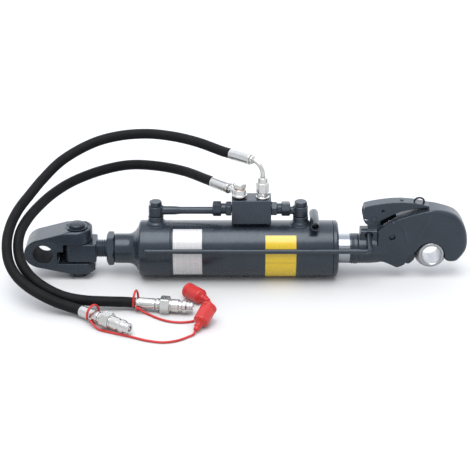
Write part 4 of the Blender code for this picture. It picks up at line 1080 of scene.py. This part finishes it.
loop = [Vector((306 + 8.0 * math.cos(t), 0.0, 87.0 + 6.6 * math.sin(t))) for t in [math.pi * k / 28 for k in range(29)]]
loop = [Vector((314, 0, 84.6)), Vector((314, 0, 85.8))] + loop
give(tube("pull_loop", loop, 1.6, 16, ends="round"), "dark_steel", "lever", "pull_ring")
give(turned("lever_pin_painted", soft([(-12.4, 0, 0), (-12.4, 4.2), (-11.9, 5.2), (-11.3, 5.2), (-11.3, 4.0, 0), (11.3, 4.0, 0), (11.3, 5.2),
                                       (11.9, 5.2), (12.4, 4.2), (12.4, 0, 0)], 0.3), (231, 0, 58.5), Y, 48), "paint", "rod_hook", "lever_pin")

# ================================================================== fork end
PIN = -265.0
turn_ = [math.radians(72.5) * k / 30 for k in range(31)]
side = [(-321 - 32 * math.cos(t), 27.5 * math.sin(t)) for t in turn_]
side += soft([(-277.5, 40.5, 5), (-236, 40.5, 0), (-236, -36.5, 0), (-276, -36.5, 5)], 5, 5)
side += [(-321 - 32 * math.cos(t), -25.6 * math.sin(t)) for t in reversed(turn_[1:])]
fork = prism("fork_forging", side, -25.5, 25.5)
plan = prism("t1", [(-360, 27), (-360, -27), (PIN, -27)] + arc(PIN, 0, 25.5, -88, 88, 48) + [(PIN, 27)], -2, 50, "XY")
join(plan, prism("t2", [(-361, 27.2), (-361, -27.2), (-246.6, -27.2), (-236.5, -10), (-236.5, 10), (-246.6, 27.2)], -50, -1, "XY"))
boolean(fork, plan, "INTERSECT")
boolean(fork, rod("t2", (-370, 0, 0), (-230, 0, 0), 46.0, 192), "INTERSECT")
cut(fork, prism("t3", [(-298, -40), (-230, -40), (-230, 40), (-288, 40), (-288, 17), (-298, 17)], -18, 18, "XY"))
join(fork, block("t1", -300, -287, -25.3, -17.0, 4.5, 20.0, 0.8, 3))
cut(fork,
    turned("t4", [(-27, 0), (-27, 18.0), (-25.4, 17.6), (-24.0, 16.1), (24.0, 16.1), (25.4, 17.6), (27, 18.0), (27, 0)], (-321, 0, 0), Y, 96),
    rod("t5", (PIN, 0, -60), (PIN, 0, 60), 14.2, 64),
    rod("t6", (PIN, 0, 38.6), (PIN, 0, 52), 20.6, 72))
cast(fork, 0.7, 6)
origin = Vector(row((0, 0, 0)))
# Faces inside the fork's bore and slot are collected here and given the painted-shade paint, darkening them as shade
# would.
shade_painted_faces = []
for p in fork.data.polygons:
    q = (p.center - origin) / MM
    bore = math.hypot(q.x + 321, q.z) < 16.9 and abs(q.y) < 25.0
    if bore or (abs(q.z) < 17.2 and -298.6 < q.x < -236 and abs(q.y) < 18.2):
        shade_painted_faces.append(p.index)
give(fork, "paint_cast", "fork_end", "fork")
fork.data.materials.append(M["paint_shade"])
for i in shade_painted_faces:
    fork.data.polygons[i].material_index = 1
give(turned("pin_painted", soft([(-47.2, 0, 0), (-47.2, 15.4), (-45.8, 16.8), (-36.8, 16.8), (-36.8, 14.0, 0), (39.8, 14.0, 0),
                                 (39.8, 12.6, 0), (41.7, 12.6, 0), (41.7, 13.6), (45.6, 13.6), (46.6, 12.2), (46.6, 0, 0)], 0.5), (PIN, 0, 0), Z, 96),
     "paint", "fork_end", "fork_pin")
ring = arc(PIN, 0, 17.9, 200, 520, 60) + arc(PIN, 0, 12.95, 520, 200, 60)
give(prism("snap_ring_top", ring, 40.1, 41.4, "XY", 0.2, 2), "paint", "fork_end", "clip_top")
give(block("pin_stop_welded", -277.0, -272.4, -24.0, -19.0, -42.5, -36.6, 0.8, 3), "paint", "fork_end", "pin_stop")

nose = [(-287.5, 0), (-286.4, 12), (-283.2, 18.8), (-279, 22.0), (-234.5, 22.0), (-232.7, 20.0)]
eye = prism("eye_forging", soft(nose + [(x, -y) for x, y in reversed(nose[1:])], 1.6, 4, closed=True), -16.5, 16.5, "XY", 1.6, 4)
cut(eye, rod("t1", (PIN, 0, -30), (PIN, 0, 30), 14.2, 64))
cast(eye, 0.7, 4)
give(eye, "paint_cast", "shank", "threaded_eye")


def thread(name, x0, x1, r, pitch, depth, n=72, step=0.3):
    xs = [x0 + (x1 - x0) * k / round((x1 - x0) / step) for k in range(round((x1 - x0) / step) + 1)]
    verts, rings = [], []
    for x in xs:
        rings.append(list(range(len(verts), len(verts) + n)))
        fade = min(1.0, (x - x0) / 2.0, (x1 - x) / 1.5)
        for k in range(n):
            a = 2 * math.pi * k / n
            ph = ((x - x0) / pitch - k / n) % 1.0
            tri = abs(ph - 0.5) * 2
            cutd = depth * min(1.0, max(0.0, (tri - 0.12) / 0.76)) * max(fade, 0.0)
            rr = r - cutd
            verts.append((x, rr * math.cos(a), rr * math.sin(a)))
    c0, c1 = len(verts), len(verts) + 1
    verts += [(x0, 0, 0), (x1, 0, 0)]
    faces = []
    for p, q in zip(rings[:-1], rings[1:]):
        for k in range(n):
            j = (k + 1) % n
            faces.append((p[k], q[k], q[j], p[j]))
    for k in range(n):
        j = (k + 1) % n
        faces.append((c0, rings[0][j], rings[0][k]))
        faces.append((c1, rings[-1][k], rings[-1][j]))
    return new_mesh(name, verts, faces, 50)


give(thread("shank_thread", -233.5, -166.0, 15.0, 3.5, 0.9), "paint", "shank", "threaded_eye")
give(hexbody("lock_nut_painted", (-215.4, 0, 0), X, 13.1, 50.0, turn=math.pi / 6, bore=15.25, n=120), "paint", "nut", "lock_nut")

# ------------------------------------------------------------------ what stays from the model, with its finish
KEEP = {"steel": ("piston", "piston_nut", "pilot_piston", "check_poppet_base", "check_poppet_head"),
        "seal": ("rod_seal", "piston_seal")}
for mat, names in KEEP.items():
    for n in names:
        o = bpy.data.objects.get(n)
        if o is not None:
            o.data.materials.clear()
            o.data.materials.append(M[mat])

# ================================================================== studio
floor_me = bpy.data.meshes.new("studio_floor")
floor_me.from_pydata([(-6, -6, 0), (6, -6, 0), (6, 6, 0), (-6, 6, 0)], [], [(0, 1, 2, 3)])
floor = bpy.data.objects.new("studio_floor", floor_me)
bpy.context.scene.collection.objects.link(floor)
fm, fnt, fb = finish_of("pale_floor", (0.58, 0.58, 0.58), 0.8)
floor_me.materials.append(fm)

# A wide soft light overhead and slightly to the front, in a pale room that is brighter behind the object.
world = bpy.data.worlds.new("studio")
world.use_nodes = True
wnt = world.node_tree
wtc = put(wnt, "ShaderNodeTexCoord")
wsep = put(wnt, "ShaderNodeSeparateXYZ")
wnt.links.new(wtc.outputs["Generated"], wsep.inputs[0])
back = mixed(wnt, remap(wnt, wsep.outputs["Z"], 0.0, 1.0, 0.5, 0.75), (1.85, 1.92, 2.05), (1.35, 1.40, 1.50))
wnt.links.new(mixed(wnt, remap(wnt, wsep.outputs["Y"], 0.0, 1.0, -0.1, 0.2), (0.90, 0.93, 0.98), back),
              wnt.nodes["Background"].inputs["Color"])
wnt.nodes["Background"].inputs["Strength"].default_value = 1.0
bpy.context.scene.world = world

sun = bpy.data.lights.new("soft_box", "SUN")
sun.energy = 2.5
sun.angle = math.radians(46)
sun_ob = bpy.data.objects.new("soft_box", sun)
bpy.context.scene.collection.objects.link(sun_ob)
sun_ob.rotation_euler = (math.radians(18), math.radians(-5), 0)
bpy.context.scene.view_settings.view_transform = "Standard"
